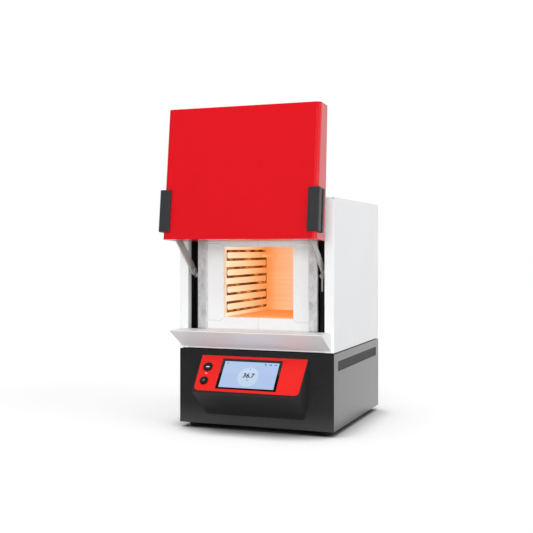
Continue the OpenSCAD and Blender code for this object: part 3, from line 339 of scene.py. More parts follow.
# Finishes, each named for the real material: colour, then grain and depth in millimetres, then roughness
finishes = {
    "whiteCoat": powderCoat("powder coated steel, signal white", "#edeff0", 1.2, 0.03, 0.42),
    "charcoalCoat": powderCoat("powder coated steel, charcoal fine texture", "#272728", 1.1, 0.09, 0.4, coat=1.0,
                               speckle=0.16),
    "slotCoat": powderCoat("powder coated steel, dull black", "#262627", 0.9, 0.05, 0.6),
    "blackCoat": powderCoat("powder coated steel, black", "#121213", 0.9, 0.05, 0.5),
    "screenCoat": powderCoat("powder coated perforated steel, charcoal", "#161617", 0.9, 0.03, 0.55, coat=0.3),
    # Black cloth behind the vent screens: painted shade for the inside of the base
    "blackShadeCloth": moulded("black cloth, painted shade behind the vent screens", "#141415", 0.8, 0.15, 0.9),
    "redCoat": powderCoat("powder coated steel, gloss red", "#d30c19", 3.0, 0.008, 0.26, coat=0.26),
    "redFoil": powderCoat("screen printed polyester foil, red", "#ea1107", 0.7, 0.02, 0.36),
    "blackMoulding": moulded("moulded ABS, black", "#1b1b1c", 0.8, 0.06, 0.5),
    "consoleMoulding": moulded("moulded polycarbonate blend, charcoal", "#2b2b2c", 0.9, 0.07, 0.48),
    "handleMoulding": moulded("glass filled nylon, charcoal", "#353637", 1.1, 0.12, 0.5),
    "rubber": moulded("moulded nitrile rubber", "#141414", 1.0, 0.08, 0.7),
    "greyMoulding": moulded("moulded polyamide, grey", "#8d9196", 1.0, 0.04, 0.55),
    "zincStrip": galvanised("galvanised steel strip", "#d4d5d6", "#f6f7f7", 22, across=120 * mm),
    "zincSheet": galvanised("galvanised steel sheet", "#8f9193", "#b9bbbc", 34),
    "armSteel": steelBar("zinc plated steel bar", "#bab6b4", "Z", 0.34, metallic=0.5),
    "pinSteel": steelBar("turned stainless steel", "#d4d5d6", "X", 0.24, metallic=0.5),
    "rodSteel": steelBar("ground steel rod", "#dcdddd", "Z", 0.16, metallic=0.6),
    "tubeBlack": powderCoat("lacquered steel tube, black", "#0b0b0c", 1.0, 0.01, 0.28, coat=0.6),
    "blackSteel": plain("blackened steel", "#060606", 0.45),
    # Front boards: painted warm light on their edges, painted light that lightens them above the chamber, painted glow
    # on the edges
    "boardWhite": fibreBoard("ceramic fibre board", "#f9fbfc",
                             ((0.0, "#ffffff"), (0.08, "#ffffff"), (0.4, "#fffaf2"), (1.0, "#fff2e2")),
                             boardFront, boardFront + 20 * mm,
                             paintedLightHeights=(chamberHigh.z - 4 * mm, chamberHigh.z + 10 * mm), paintedRevealGlow=0.2),
    "boardPlug": fibreBoard("ceramic fibre board, plug", "#efe9dc"),
    "insulation": fibreBoard("calcium silicate insulation", "#e8e2d6"),
    "ceramic": plain("sintered cordierite ceramic", "#e6ddcc", 0.8, grain=1.5),
    "aluminium": plain("black anodised aluminium", "#1c1c1d", 0.5, metallic=0.4),
    "circuitBoard": plain("glass epoxy circuit board", "#1c6236", 0.4),
    "glassBlack": printedGlass("black printed display glass", "#0a0f10"),
    "lcdBlue": litDisplay("lit liquid crystal display", "#adc8f2", 0.92, "#b9d0f0"),
    "lcdCircle": litDisplay("lit display figure, pale", "#c6dbf2", 0.95),
    "lcdInk": litDisplay("display figure, dark", "#18262a", 0.9),
    "lcdRed": litDisplay("display figure, red", "#c46a86", 0.9),
    "printWhite": plain("pad printed ink, white", "#e8e9ea", 0.5),
    "printGrey": plain("pad printed ink, grey", "#8a8b8c", 0.5),
    # Cement of the board joints, whose grey is partly painted shade in the joints
    "cementAndShade": plain("refractory cement, with painted joint shade", "#a9a49b", 0.9),
    # The coils' wire carries painted glow and painted glints
    "wire": heatingWire("wound resistance wire, oxidised, with painted glow"),
}

# Colours of the painted glow on the chamber's boards, whose paler and deeper stretches are painted light as well:
# walls, floor, roof and sheath from the front to the back, rear wall from left to right
paintedGlowColours = {
    "walls": ((0.0, "#ffe9cc"), (0.12, "#ffdeba"), (0.45, "#fbcc9e"), (0.8, "#f0a668"), (1.0, "#e88e4a")),
    "rear": ((0.0, "#ee9150"), (0.07, "#f09a5e"), (0.14, "#f3a872"), (0.5, "#f2bc98"), (0.78, "#f2c6aa"),
             (1.0, "#f1c8ae")),
    "floor": ((0.0, "#f3a468"), (0.3, "#f0904e"), (1.0, "#ee803a")),
    "roof": ((0.0, "#f6d4a8"), (0.5, "#f2a866"), (1.0, "#f08c46")),
    "sheath": ((0.0, "#f3b172"), (1.0, "#f0a060")),
}
finishes["paintedGlowWalls"] = paintedGlowBoard("fibre board with painted glow, side wall", "Y", chamberFront, chamberBack, paintedGlowColours["walls"],
                                    grooveStart=chamberHalf)
finishes["paintedGlowRear"] = paintedGlowBoard("fibre board with painted glow, rear wall", "X", -chamberHalf, chamberHalf, paintedGlowColours["rear"],
                                   streaks="X")
finishes["paintedGlowFloor"] = paintedGlowBoard("hearth tile with painted glow", "Y", chamberFront, chamberBack, paintedGlowColours["floor"])
finishes["paintedGlowRoof"] = paintedGlowBoard("fibre board with painted glow, roof", "Y", chamberFront, chamberBack, paintedGlowColours["roof"])
finishes["paintedGlowSheath"] = paintedGlowBoard("alumina sheath with painted glow", "Y", chamberBack - 100 * mm, chamberBack,
                                     paintedGlowColours["sheath"])
print("materials made:", len(finishes))


def deselectAll():
    if bpy.context.object and bpy.context.object.mode != "OBJECT":
        bpy.ops.object.mode_set(mode="OBJECT")
    bpy.ops.object.select_all(action="DESELECT")


def activate(piece):
    deselectAll()
    piece.select_set(True)
    bpy.context.view_layer.objects.active = piece


# Puts the object's place into its mesh and gives it its material and body
def settle(piece, name, finish, body, smoothBelow=35):
    activate(piece)
    bpy.ops.object.transform_apply(location=True, rotation=True, scale=True)
    bpy.ops.object.shade_smooth_by_angle(angle=math.radians(smoothBelow))
    piece.name = name
    piece.data.name = name
    piece.data.materials.clear()
    piece.data.materials.append(finishes[finish])
    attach(piece, body)
    return piece


def applyModifier(piece, kind, **settings):
    activate(piece)
    modifier = piece.modifiers.new(kind.title(), kind)
    for name, value in settings.items():
        setattr(modifier, name, value)
    bpy.ops.object.modifier_apply(modifier=modifier.name)


# Selects the edges for which test(first end, second end) holds, and stays in edit mode
def selectEdges(piece, test):
    activate(piece)
    bpy.ops.object.mode_set(mode="EDIT")
    bpy.ops.mesh.select_mode(type="EDGE")
    bpy.ops.mesh.select_all(action="DESELECT")
    bpy.ops.object.mode_set(mode="OBJECT")
    for edge in piece.data.edges:
        first, second = (piece.data.vertices[i].co for i in edge.vertices)
        edge.select = test(first, second)
    bpy.ops.object.mode_set(mode="EDIT")


easing = {"weld": 0.01, "flatWithin": 0.4, "sharpFrom": 32, "foldSegments": 4}    # millimetres and degrees


# A copy of a CAD node with its edges eased as the real piece's are, which then stands for the node. Widths are in
# millimetres, folds tests for the edges that a press brake leaves round, and reshape moves single points
def eased(node, name, finish, width, segments=2, folds=None, foldRadius=0.0, reshape=None):
    piece = bpy.data.objects.new(name, frame["nodes"][node].data.copy())
    bpy.context.scene.collection.objects.link(piece)
    activate(piece)
    bpy.ops.object.mode_set(mode="EDIT")
    bpy.ops.mesh.select_all(action="SELECT")
    bpy.ops.mesh.remove_doubles(threshold=easing["weld"] * mm)
    bpy.ops.mesh.dissolve_limited(angle_limit=math.radians(easing["flatWithin"]))
    bpy.ops.object.mode_set(mode="OBJECT")
    if reshape:
        for point in piece.data.vertices:
            point.co = reshape(point.co)
    if folds:
        selectEdges(piece, folds)
        bpy.ops.mesh.bevel(offset=foldRadius * mm, segments=easing["foldSegments"], profile=0.5)
        bpy.ops.object.mode_set(mode="OBJECT")
    applyModifier(piece, "BEVEL", width=width * mm, segments=segments, limit_method="ANGLE",
                  angle_limit=math.radians(easing["sharpFrom"]), miter_outer="MITER_ARC")
    settle(piece, name, finish, nodeBody[node])
    # Large faces stay flat and only the eased edges turn the light
    applyModifier(piece, "WEIGHTED_NORMAL", mode="FACE_AREA", weight=100, keep_sharp=True)
    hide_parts(node)
    return piece


deselectAll()

# CAD nodes that keep their own shape and only take a finish
# Among these, the thermocouple, the chamber's rear wall and its roof take the painted glow
dressedNodes = {
    "base_tray": "charcoalCoat", "rear_panel": "whiteCoat", "base_rear_panel": "charcoalCoat",
    "mid_deck": "blackCoat", "display_module": "greyMoulding",
    "console_screws": "blackSteel", "controller_board": "circuitBoard", "relay_heat_sink": "aluminium",
    "solid_state_relay": "greyMoulding", "terminal_rail": "zincSheet", "terminal_blocks": "greyMoulding",
    "rear_screws": "pinSteel", "inner_case": "zincSheet", "slot_channels": "slotCoat",
    "insulation_panels": "insulation", "element_terminals": "ceramic", "thermocouple": "paintedGlowSheath",
    "collar_screws": "pinSteel", "pivot_studs": "pinSteel", "door_switch": "blackMoulding",
    "tail_pins": "pinSteel", "strut_rods": "rodSteel", "door_insulation": "insulation",
    "door_pins": "pinSteel", "handle_screws": "blackSteel", "chamber_rear": "paintedGlowRear", "chamber_roof": "paintedGlowRoof",
}
for node, finish in dressedNodes.items():
    cadMesh = frame["nodes"][node].data
    cadMesh.materials.clear()
    cadMesh.materials.append(finishes[finish])
print("CAD nodes dressed:", len(dressedNodes))

# Sheet metal of the base and the upper case, with the radii of its folds
caseFolds = {"radius": 1.2, "shortest": 20}
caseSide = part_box("side_panels")[1].x
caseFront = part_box("side_panels")[0].y
onFold = 0.05 * mm


# Upright outer corners of a folded panel at the front of the case
def isFrontFold(first, second):
    return all(abs(abs(p.x) - caseSide) < onFold and abs(p.y - caseFront) < onFold for p in (first, second)) \
        and abs(first.z - second.z) > caseFolds["shortest"] * mm


eased("side_panels", "sidePanels", "whiteCoat", width=0.35, folds=isFrontFold, foldRadius=caseFolds["radius"])
eased("top_cover", "topCover", "whiteCoat", width=0.5)
eased("header_panel", "headerPanel", "whiteCoat", width=0.5)
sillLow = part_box("sill")[0]
sillLip = {"lean": 2.4, "plate": 2.0}


# The narrow lip under the slope leans back a little at its lower edge
def leanLip(co):
    atFoot = co.z < sillLow.z + onFold and co.y < caseFront + sillLip["plate"] * mm
    return Vector((co.x, co.y + (sillLip["lean"] * mm if atFoot else 0), co.z))


eased("sill", "sill", "whiteCoat", width=0.6, segments=3, reshape=leanLip)
eased("base_front_panel", "baseFrontPanel", "charcoalCoat", width=0.35, folds=isFrontFold,
      foldRadius=caseFolds["radius"])
eased("base_side_panels", "baseSidePanels", "charcoalCoat", width=0.4)
eased("face_strips", "faceStrips", "zincStrip", width=0.3)
eased("feet", "feet", "rubber", width=1.5, segments=3)
print("sheet metal done")

doorLow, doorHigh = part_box("door_shell")
doorFolds = {"radius": 2.6, "frontDepth": 40, "shortest": 200}


# Upright corners of the pan's front, which the press brake leaves round
def isDoorFold(first, second):
    return all(abs(abs(p.x) - doorHigh.x) < onFold for p in (first, second)) \
        and (first.y + second.y) / 2 < doorLow.y + doorFolds["frontDepth"] * mm \
        and abs(first.z - second.z) > doorFolds["shortest"] * mm


eased("door_shell", "doorShell", "redCoat", width=0.7, segments=3, folds=isDoorFold, foldRadius=doorFolds["radius"])
eased("door_liner", "doorLiner", "zincSheet", width=0.3, segments=1)
eased("door_plug", "doorPlug", "boardPlug", width=1.2)
eased("door_brackets", "doorBrackets", "armSteel", width=0.4, segments=1)
eased("door_handles", "doorHandles", "handleMoulding", width=0.9, segments=3)
print("door done")

eased("lower_arms", "lowerArms", "armSteel", width=0.5)
eased("upper_arms", "upperArms", "armSteel", width=0.5)
eased("strut_cylinders", "strutTubes", "tubeBlack", width=0.6)
print("lift mechanism done")

eased("front_side_boards", "frontSideBoards", "boardWhite", width=0.8)
eased("front_cross_boards", "frontCrossBoards", "boardWhite", width=0.8)
# The chamber's walls and hearth take the painted glow
eased("chamber_walls", "chamberWalls", "paintedGlowWalls", width=0.7)
eased("hearth_tile", "hearthTile", "paintedGlowFloor", width=0.8)
print("lining done")

eased("console_housing", "consoleHousing", "consoleMoulding", width=0.8, segments=3)
overlayLow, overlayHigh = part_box("console_overlay")
overlayShape = {"edge": 12.9, "taper": 4.0}


# The foil's ends draw in towards the nose, as the moulding's do
def taperOverlay(co):
    if abs(co.x) < overlayHigh.x - overlayShape["edge"] * mm:
        return co
    down = (overlayHigh.z - co.z) / (overlayHigh.z - overlayLow.z)
    return Vector((co.x - math.copysign(overlayShape["taper"] * mm * down, co.x), co.y, co.z))


eased("console_overlay", "consoleOverlay", "redFoil", width=0.25, reshape=taperOverlay)
eased("display_glass", "displayGlass", "glassBlack", width=0.4)
eased("usb_port", "usbPort", "blackMoulding", width=0.5, segments=3)
eased("power_switch_body", "powerSwitchBody", "blackMoulding", width=0.5, segments=3)
eased("power_button", "powerButton", "blackMoulding", width=0.8, segments=3)
eased("cable_gland", "cableGland", "blackMoulding", width=0.5)
eased("flue_tube", "flueTube", "ceramic", width=0.8)
eased("flue_collar", "flueCollar", "zincSheet", width=0.4)
print("console and services done")

# Perforated sheets with black cloth behind them, in the openings of the base's sides; the cloth is painted shade that
# keeps the inside of the base dark behind the holes
screen = {"pitch": 4.4, "web": 0.85, "sheet": 0.8, "cloth": 0.6, "clothGap": 0.1, "clothCells": (6, 40)}
grilleLow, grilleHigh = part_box("vent_grilles")
grilleMiddle = (grilleLow + grilleHigh) / 2
grilleLength, grilleHeight = grilleHigh.y - grilleLow.y, grilleHigh.z - grilleLow.z


# A flat grid that faces outwards on one side of the base, x metres from the middle
def uprightGrid(side, height, length, cells, x):
    deselectAll()
    bpy.ops.mesh.primitive_grid_add(x_subdivisions=cells[0], y_subdivisions=cells[1], size=1)
    piece = bpy.context.object
    piece.scale = (height, length, 1)
    piece.rotation_euler = (0, math.radians(90 * side), 0)
    piece.location = (side * x, grilleMiddle.y, grilleMiddle.z)
    bpy.ops.object.transform_apply(location=True, rotation=True, scale=True)
    return piece


def perforatedSheet(name, side):
    cells = [round(span / (screen["pitch"] * mm)) for span in (grilleHeight, grilleLength)]
    piece = uprightGrid(side, grilleHeight, grilleLength, cells, grilleHigh.x)
    bpy.ops.object.mode_set(mode="EDIT")
    bpy.ops.mesh.select_all(action="SELECT")
    bpy.ops.mesh.inset(thickness=screen["web"] * mm, use_individual=True)
    bpy.ops.mesh.delete(type="FACE")
    bpy.ops.object.mode_set(mode="OBJECT")
    applyModifier(piece, "SOLIDIFY", thickness=screen["sheet"] * mm)
    return settle(piece, name, "screenCoat", "furnace")


# The cloth ends one hole short of the sheet's edges
def blackShadeCloth(name, side):
    margin = 2 * screen["pitch"] * mm
    piece = uprightGrid(side, grilleHeight - margin, grilleLength - margin, screen["clothCells"],
                        grilleHigh.x - (screen["sheet"] + screen["clothGap"]) * mm)
    applyModifier(piece, "SOLIDIFY", thickness=screen["cloth"] * mm)
    return settle(piece, name, "blackShadeCloth", "furnace")


for side, label in ((-1, "Left"), (1, "Right")):
    sheet = perforatedSheet("ventScreen" + label, side)
    blackShadeCloth("ventShadeCloth" + label, side)
    if side < 0:
        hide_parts("vent_grilles")
print("perforated sheets done")


# A round bar along points in metres, made a mesh
def roundBar(name, points, radius):
    curve = bpy.data.curves.new(name, "CURVE")
    curve.dimensions = "3D"
    curve.bevel_depth = radius
    curve.bevel_resolution = 1
    curve.use_fill_caps = True
    spline = curve.splines.new("POLY")
    spline.points.add(len(points) - 1)
    for point, where in zip(spline.points, points):
        point.co = (*where, 1.0)
    piece = bpy.data.objects.new(name, curve)
    bpy.context.scene.collection.objects.link(piece)
    activate(piece)
    bpy.ops.object.convert(target="MESH")
    return bpy.context.object


# Cement lines where the front boards meet, grey beads that are also painted shade in the joints
joint = {"bead": 0.45, "corner": 9.3, "behindFace": 0.5}
boardLow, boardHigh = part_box("front_cross_boards")
jointY = boardFront + joint["behindFace"] * mm
cornerReach = joint["corner"] * mm


def cementAndShadeLine(name, places):
    bead = roundBar(name, [(x, jointY, z) for x, z in places], joint["bead"] * mm)
    return settle(bead, name, "cementAndShade", "furnace", smoothBelow=60)


for label, edge, outward, end in (("Upper", chamberHigh.z, 1, boardHigh.z), ("Lower", hearthHigh.z, -1, boardLow.z)):
    cementAndShadeLine("cementAndShadeMiddle" + label, [(0, edge), (0, end)])
    for side, hand in ((-1, "Left"), (1, "Right")):
        cornerX, cornerZ = side * (chamberHalf + cornerReach), edge + outward * cornerReach
        cementAndShadeLine("cementAndShadeCorner" + hand + label,
                   [(side * chamberHalf, edge), (cornerX, cornerZ), (side * boardHigh.x, cornerZ)])
print("cement lines done")

# Heating coils: one wound wire along all the grooves of a side wall, in metres
coil = {"wire": 1.5 * mm, "outer": 6.0 * mm, "pitch": 3.4 * mm, "steps": 9, "bend": 5.0 * mm, "bendSteps": 6,
        "runs": 8, "runPitch": 23.4 * mm, "fromRear": 7.5 * mm}
elementsLow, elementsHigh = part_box("elements")


# Middle line of one element: points along the runs and the bends between them, from lead to lead
def elementLine(x):
    front = elementsLow.y + coil["outer"] / 2
    back = chamberBack - coil["fromRear"]
    lowest = elementsLow.z + coil["outer"] / 2
    bend = coil["bend"]
    quarter = [math.radians(90 * step / coil["bendSteps"]) for step in range(coil["bendSteps"] + 1)]
    points = [Vector((x, chamberBack, lowest))]
    for run in range(coil["runs"] - 1):
        z = lowest + run * coil["runPitch"]
        y, towards = (front, 1) if run % 2 == 0 else (back, -1)
        for turn in quarter:
            points.append(Vector((x, y + towards * bend * (1 - math.sin(turn)), z + bend - bend * math.cos(turn))))
        for turn in quarter:
            points.append(Vector((x, y + towards * bend * (1 - math.cos(turn)),
                                  z + coil["runPitch"] - bend + bend * math.sin(turn))))
    points.append(Vector((x, chamberBack, lowest + (coil["runs"] - 1) * coil["runPitch"])))
    return points


def windWire(name, x):
    line = elementLine(x)
    radius = (coil["outer"] - coil["wire"]) / 2
    stepLength = coil["pitch"] / coil["steps"]
    across = Vector((1, 0, 0))
    places, travelled, count = [], 0.0, 0
    for first, second in zip(line, line[1:]):
        span = second - first
        along = span.normalized()
        other = along.cross(across)
        while count * stepLength <= travelled + span.length:
            middle = first + along * (count * stepLength - travelled)
            angle = 2 * math.pi * count / coil["steps"]
            places.append(middle + radius * (math.cos(angle) * across + math.sin(angle) * other))
            count += 1
        travelled += span.length
    wound = roundBar(name, places, coil["wire"] / 2)
    return settle(wound, name, "wire", "furnace", smoothBelow=60)


coilX = elementsHigh.x - coil["outer"] / 2
for side, label in ((-1, "Left"), (1, "Right")):
    wound = windWire("elementCoil" + label, side * coilX)
    if side < 0:
        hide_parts("elements")
print("coils wound")

# The sloping panel of the console: places on it are millimetres across from the middle and up from the nose
panel = {"nose": (-70.0, 95.4), "reach": 70.0, "rise": 88.6, "plate": 0.1, "foilFace": 1.38}
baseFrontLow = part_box("base_front_panel")[0]
panelTilt = math.atan2(panel["reach"], panel["rise"])
panelMatrix = Matrix.Translation((0, baseFrontLow.y + panel["nose"][0] * mm, baseFrontLow.z + panel["nose"][1] * mm)) \
    @ Matrix.Rotation(-panelTilt, 4, "X") @ Matrix.Rotation(math.radians(90), 4, "X")


# Puts a flat piece, drawn with X to the right and Y up, on the panel, out millimetres proud of it
def ontoPanel(piece, across, up, out):
    piece.matrix_world = panelMatrix @ Matrix.Translation((across * mm, up * mm, out * mm)) @ piece.matrix_world


def flatPlate(name, finish, width, height, across, up, out, corner):
    deselectAll()
    bpy.ops.mesh.primitive_plane_add(size=1)
    piece = bpy.context.object
    piece.scale = (width * mm, height * mm, 1)
    bpy.ops.object.transform_apply(location=True, rotation=True, scale=True)
    bpy.ops.object.mode_set(mode="EDIT")
    bpy.ops.mesh.select_all(action="SELECT")
    bpy.ops.mesh.bevel(offset=corner * mm, segments=5, affect="VERTICES")
    bpy.ops.object.mode_set(mode="OBJECT")
    applyModifier(piece, "SOLIDIFY", thickness=panel["plate"] * mm)
    ontoPanel(piece, across, up, out)
    return settle(piece, name, finish, "furnace")


# Picture on the display: a lit plate, a pale disc, figures and plain blocks
display = {"width": 152.0, "height": 78.3, "at": -0.8, "middle": 55.6, "corner": 0.6, "out": 2.22,
           "circle": 28.8, "circleAt": -2.2, "circleMiddle": 49.6, "circleRim": 0.06, "circleOut": 0.06,
           "figures": 18.1, "unit": 4.5, "figuresOut": 0.16, "lean": 0.12, "strokeDepth": 0.05, "flatten": 0.15}


def disc(name, finish, radius, across, up, out):
    deselectAll()
    bpy.ops.mesh.primitive_circle_add(vertices=64, radius=radius * mm, fill_type="NGON")
    piece = bpy.context.object
    bpy.ops.object.mode_set(mode="EDIT")
    bpy.ops.mesh.select_all(action="SELECT")
    bpy.ops.mesh.inset(thickness=radius * display["circleRim"] * mm)
    bpy.ops.object.mode_set(mode="OBJECT")
    applyModifier(piece, "SOLIDIFY", thickness=panel["plate"] * mm)
    ontoPanel(piece, across, up, out)
    return settle(piece, name, finish, "furnace")


def figure(name, words, height, across, up, weight):
    deselectAll()
    bpy.ops.object.text_add()
    piece = bpy.context.object
    piece.data.body = words
    piece.data.size = height * mm
    piece.data.align_x = "CENTER"
    piece.data.align_y = "CENTER"
    piece.data.bevel_depth = weight * mm    # makes the strokes bolder without breaking their outlines
    piece.data.bevel_resolution = 0
    piece.data.extrude = display["strokeDepth"] * mm
    piece.data.shear = display["lean"]
    bpy.ops.object.convert(target="MESH")
    piece = bpy.context.object
    for point in piece.data.vertices:
        point.co.z *= display["flatten"]
    ontoPanel(piece, across, up, display["out"] + display["figuresOut"])
    return settle(piece, name, "lcdInk", "furnace", smoothBelow=60)


circleAt, circleMiddle = display["circleAt"], display["circleMiddle"]
flatPlate("displayPicture", "lcdBlue", display["width"], display["height"], display["at"], display["middle"],
          display["out"], display["corner"])
disc("displayCircle", "lcdCircle", display["circle"], circleAt, circleMiddle, display["out"] + display["circleOut"])
figure("displayReading", "36.7", display["figures"], circleAt, circleMiddle + 4, weight=0.52)
figure("displayUnit", "°C", display["unit"], circleAt - 1, circleMiddle - 10, weight=0.1)

# Plain blocks on the display: finish, width, height, across, up, out from the picture, corner radius
displayBlocks = {
    "displayMark": ("lcdInk", 2.4, 2.4, circleAt + 1.5, circleMiddle + 23, 0.14, 1.0),
    "displayIcon1": ("lcdInk", 4.0, 4.2, 38, 88.5, 0.06, 0.8),
    "displayIcon2": ("lcdInk", 7.5, 2.2, 52, 88.5, 0.06, 0.8),
    "displayIcon3": ("lcdInk", 6.5, 2.2, 66, 88.5, 0.06, 0.8),
    "displayMenu": ("lcdRed", 4.5, 3.6, -68, 88.5, 0.06, 0.8),
}
for name, (finish, width, height, across, up, out, corner) in displayBlocks.items():
    flatPlate(name, finish, width, height, across, up, display["out"] + out, corner)

# Black border that is printed on the foil round the window, wider on the side of the push button
border = {"window": (-82.1, 82.1, 13.2, 102.4), "left": 3.4, "right": 0.7, "bottom": 1.8, "top": 0.9}


def windowBorder(name):
    deselectAll()
    bpy.ops.mesh.primitive_plane_add(size=1)
    piece = bpy.context.object
    bpy.ops.object.mode_set(mode="EDIT")
    bpy.ops.mesh.select_all(action="SELECT")
    bpy.ops.mesh.inset(thickness=0.1)    # the inner ring is then told from the outer one by its X
    bpy.ops.mesh.delete(type="FACE")
    bpy.ops.object.mode_set(mode="OBJECT")
    left, right, low, high = border["window"]
    for point in piece.data.vertices:
        outer = 1 if abs(point.co.x) > 0.45 else 0
        point.co.x = (right + outer * border["right"] if point.co.x > 0 else left - outer * border["left"]) * mm
        point.co.y = (high + outer * border["top"] if point.co.y > 0 else low - outer * border["bottom"]) * mm
    applyModifier(piece, "SOLIDIFY", thickness=panel["plate"] * mm)
    ontoPanel(piece, 0, 0, panel["foilFace"])
    return settle(piece, name, "glassBlack", "furnace")


windowBorder("windowBorder")
print("display done")

# Port and push button: the tongue in the slot, the tick between them and the symbol on the button
controls = {"at": -122.5, "port": 75, "tongue": (9.6, 3.0), "tongueOut": 2.2, "tick": 55.5, "tickSize": (5.6, 2.0),
            "corner": 0.5, "button": 33, "buttonFace": 4.8, "printOut": 0.04, "arc": 3.3, "line": 0.8, "gap": 0.4,
            "strokeMiddle": 0.75}
flatPlate("portTongue", "printWhite", *controls["tongue"], controls["at"], controls["port"], controls["tongueOut"],
          controls["corner"])
flatPlate("controlTick", "printWhite", *controls["tickSize"], controls["at"], controls["tick"], panel["foilFace"],
          controls["corner"])


# Ring of the stand-by symbol, open at its top, with the stroke through the gap
def buttonSymbol(name):
    deselectAll()
    bpy.ops.mesh.primitive_circle_add(vertices=40, radius=controls["arc"] * mm, fill_type="NOTHING")
    arc = bpy.context.object
    bpy.ops.object.mode_set(mode="EDIT")
    bpy.ops.mesh.select_all(action="DESELECT")
    bpy.ops.object.mode_set(mode="OBJECT")
    for point in arc.data.vertices:
        point.select = point.co.y > 0 and abs(point.co.x) < controls["gap"] * controls["arc"] * mm
    bpy.ops.object.mode_set(mode="EDIT")
    bpy.ops.mesh.delete(type="VERT")
    bpy.ops.mesh.select_all(action="SELECT")
    bpy.ops.mesh.extrude_region_move()
    inner = 1 - controls["line"] / controls["arc"]
    bpy.ops.transform.resize(value=(inner, inner, 1))
    deselectAll()
    bpy.ops.mesh.primitive_plane_add(size=1)
    stroke = bpy.context.object
    stroke.scale = (controls["line"] * mm, controls["arc"] * mm, 1)
    stroke.location = (0, controls["strokeMiddle"] * controls["arc"] * mm, 0)
    bpy.ops.object.transform_apply(location=True, rotation=True, scale=True)
    activate(stroke)
    arc.select_set(True)
    bpy.context.view_layer.objects.active = arc
    bpy.ops.object.join()
    applyModifier(arc, "SOLIDIFY", thickness=panel["plate"] * mm, offset=0)
    ontoPanel(arc, controls["at"], controls["button"], controls["buttonFace"] + controls["printOut"])
    return settle(arc, name, "printGrey", "power_button")


buttonSymbol("buttonSymbol")
print("controls done")

# Floor: white to the camera, with the object's own shadow from the lamps and a painted contact shadow, and seen by
# gloss without the rest of its light
stage = {"size": 14.0, "white": "#cdcdcd", "glowSeen": 0.5, "glowMirrored": 0.88, "contact": 0.1,
         "glowPaintedShadowFade": ((0.46, 0.0), (0.9, 1.0)), "paintedShadowFade": ((0.04, 0.03), (0.5, 1.0)),
         "mirrorFrom": -0.5, "mirrorTo": -0.15, "mirrorFade": ((0.0, 0.05), (1.0, 1.0))}
deselectAll()
bpy.ops.mesh.primitive_plane_add(size=stage["size"])
floor = bpy.context.object
floor.name = "studioFloor"
material, tree, shader = startMaterial("studio floor, matt white", {"Roughness": 1.0, "Specular IOR Level": 0.0})
# Painted contact shadow: ambient occlusion darkens the floor's colour, its glow and its reflection next to the object
contact = addNode(tree, "ShaderNodeAmbientOcclusion", {"Distance": stage["contact"]}, samples=8)
bright = addNode(tree, "ShaderNodeValToRGB", {"Fac": (contact, "AO")}, stage["glowPaintedShadowFade"])
shaded = addNode(tree, "ShaderNodeValToRGB", {"Fac": (contact, "AO")}, stage["paintedShadowFade"])
paint = addNode(tree, "ShaderNodeMix", {0: 1.0, 6: shaded, 7: linear(stage["white"])}, **multiplying)
feed(tree, shader, {"Base Color": (paint, 2)})
ray = addNode(tree, "ShaderNodeLightPath", {})
seen = addNode(tree, "ShaderNodeMath", {0: (ray, "Is Camera Ray"), 1: stage["glowSeen"]}, operation="MULTIPLY")
glow = addNode(tree, "ShaderNodeEmission", {"Color": bright, "Strength": seen})
lit = addNode(tree, "ShaderNodeAddShader", {0: shader, 1: glow})
behind = alongAxis(tree, "Y", stage["mirrorFrom"], stage["mirrorTo"], stage["mirrorFade"])
mirrorColour = addNode(tree, "ShaderNodeMix", {0: 1.0, 6: bright, 7: behind}, **multiplying)
mirrored = addNode(tree, "ShaderNodeEmission", {"Color": (mirrorColour, 2), "Strength": stage["glowMirrored"]})
both = addNode(tree, "ShaderNodeMixShader", {0: (ray, "Is Glossy Ray"), 1: lit, 2: mirrored})
feed(tree, tree.nodes["Material Output"], {"Surface": both})
floor.data.materials.append(material)

# World: for gloss the studio is white behind the object and dim in front of it, with a soft box front right
studio = {"ambient": 0.42, "front": 0.02, "dimFrom": -0.05, "whiteFrom": 0.5, "box": 3.5,
          "boxTowards": (0.94, -0.34, 0.0), "boxEdge": 0.965, "boxCore": 0.985}
world = bpy.data.worlds.new("studio")
bpy.context.scene.world = world
world.use_nodes = True
tree = world.node_tree
tree.nodes.clear()
direction = addNode(tree, "ShaderNodeTexCoord", {})
parts = addNode(tree, "ShaderNodeSeparateXYZ", {"Vector": (direction, "Generated")})
around = addNode(tree, "ShaderNodeMapRange", {"Value": (parts, "Y"), "From Min": studio["dimFrom"],
                                              "From Max": studio["whiteFrom"], "To Min": studio["front"]})
facing = addNode(tree, "ShaderNodeVectorMath", {0: (direction, "Generated"), 1: studio["boxTowards"]},
                 operation="DOT_PRODUCT")
softBox = addNode(tree, "ShaderNodeMapRange", {"Value": (facing, "Value"), "From Min": studio["boxEdge"],
                                               "From Max": studio["boxCore"], "To Max": studio["box"]})
ray = addNode(tree, "ShaderNodeLightPath", {})
mirrored = addNode(tree, "ShaderNodeMath", {0: around, 1: softBox}, operation="ADD")
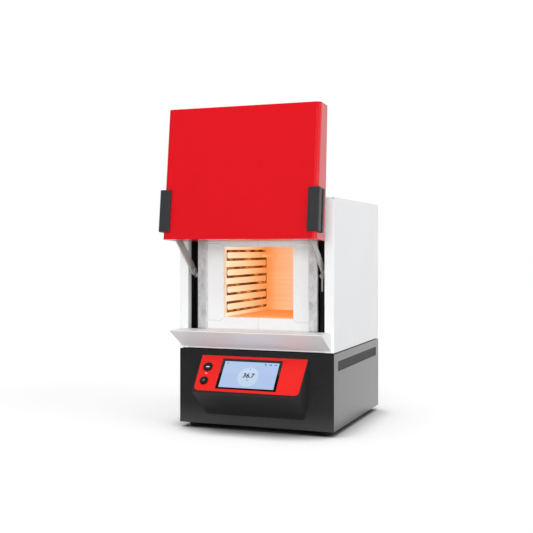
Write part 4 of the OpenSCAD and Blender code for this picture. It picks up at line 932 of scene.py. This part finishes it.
surround = addNode(tree, "ShaderNodeMath", {0: (ray, "Is Glossy Ray"), 1: mirrored}, operation="MULTIPLY")
direct = addNode(tree, "ShaderNodeMath", {0: (ray, "Is Camera Ray"), 1: (ray, "Is Transmission Ray")},
                 operation="MAXIMUM")
ambient = addNode(tree, "ShaderNodeMath", {0: (ray, "Is Diffuse Ray"), 1: studio["ambient"]}, operation="MULTIPLY")
total = addNode(tree, "ShaderNodeMath", {0: surround, 1: direct}, operation="ADD")
total = addNode(tree, "ShaderNodeMath", {0: total, 1: ambient}, operation="ADD")
background = addNode(tree, "ShaderNodeBackground", {"Color": (1, 1, 1, 1), "Strength": total})
addNode(tree, "ShaderNodeOutputWorld", {"Surface": background})


# Large soft lamp far away, so that the light is even over object and floor
def addLamp(name, towards, strength, spread):
    light = bpy.data.lights.new(name, "SUN")
    light.energy = strength
    light.angle = math.radians(spread)
    lamp = bpy.data.objects.new(name, light)
    bpy.context.scene.collection.objects.link(lamp)
    lamp.location = Vector(towards) * 4
    lamp.rotation_euler = Vector(towards).to_track_quat("Z", "Y").to_euler()
    lamp.visible_glossy = False


lamps = {"keyLight": ((0.22, -0.96, 0.1), 2.25, 34), "fillLight": ((0.82, -0.2, 0.35), 1.02, 44),
         "topLight": ((-0.05, -0.3, 0.95), 0.8, 60)}
for name, settings in lamps.items():
    addLamp(name, *settings)

# Camera as solved from the straight edges of the case: level, shifted a little down
photoView = {"lens": 62.88, "sensor": 36.0, "shift": -0.0343, "at": (0.9037, -2.4454, 0.4831),
             "towards": (-0.3576, 0.9339, 0)}
camera = bpy.data.cameras.new("photoCamera")
camera.sensor_width = photoView["sensor"]
camera.lens = photoView["lens"]
camera.shift_y = photoView["shift"]
cameraObject = bpy.data.objects.new("photoCamera", camera)
bpy.context.scene.collection.objects.link(cameraObject)
cameraObject.location = photoView["at"]
cameraObject.rotation_euler = Vector(photoView["towards"]).to_track_quat("-Z", "Y").to_euler()
bpy.context.scene.camera = cameraObject
bpy.context.scene.view_settings.view_transform = "Standard"
print("stage, light and camera done")
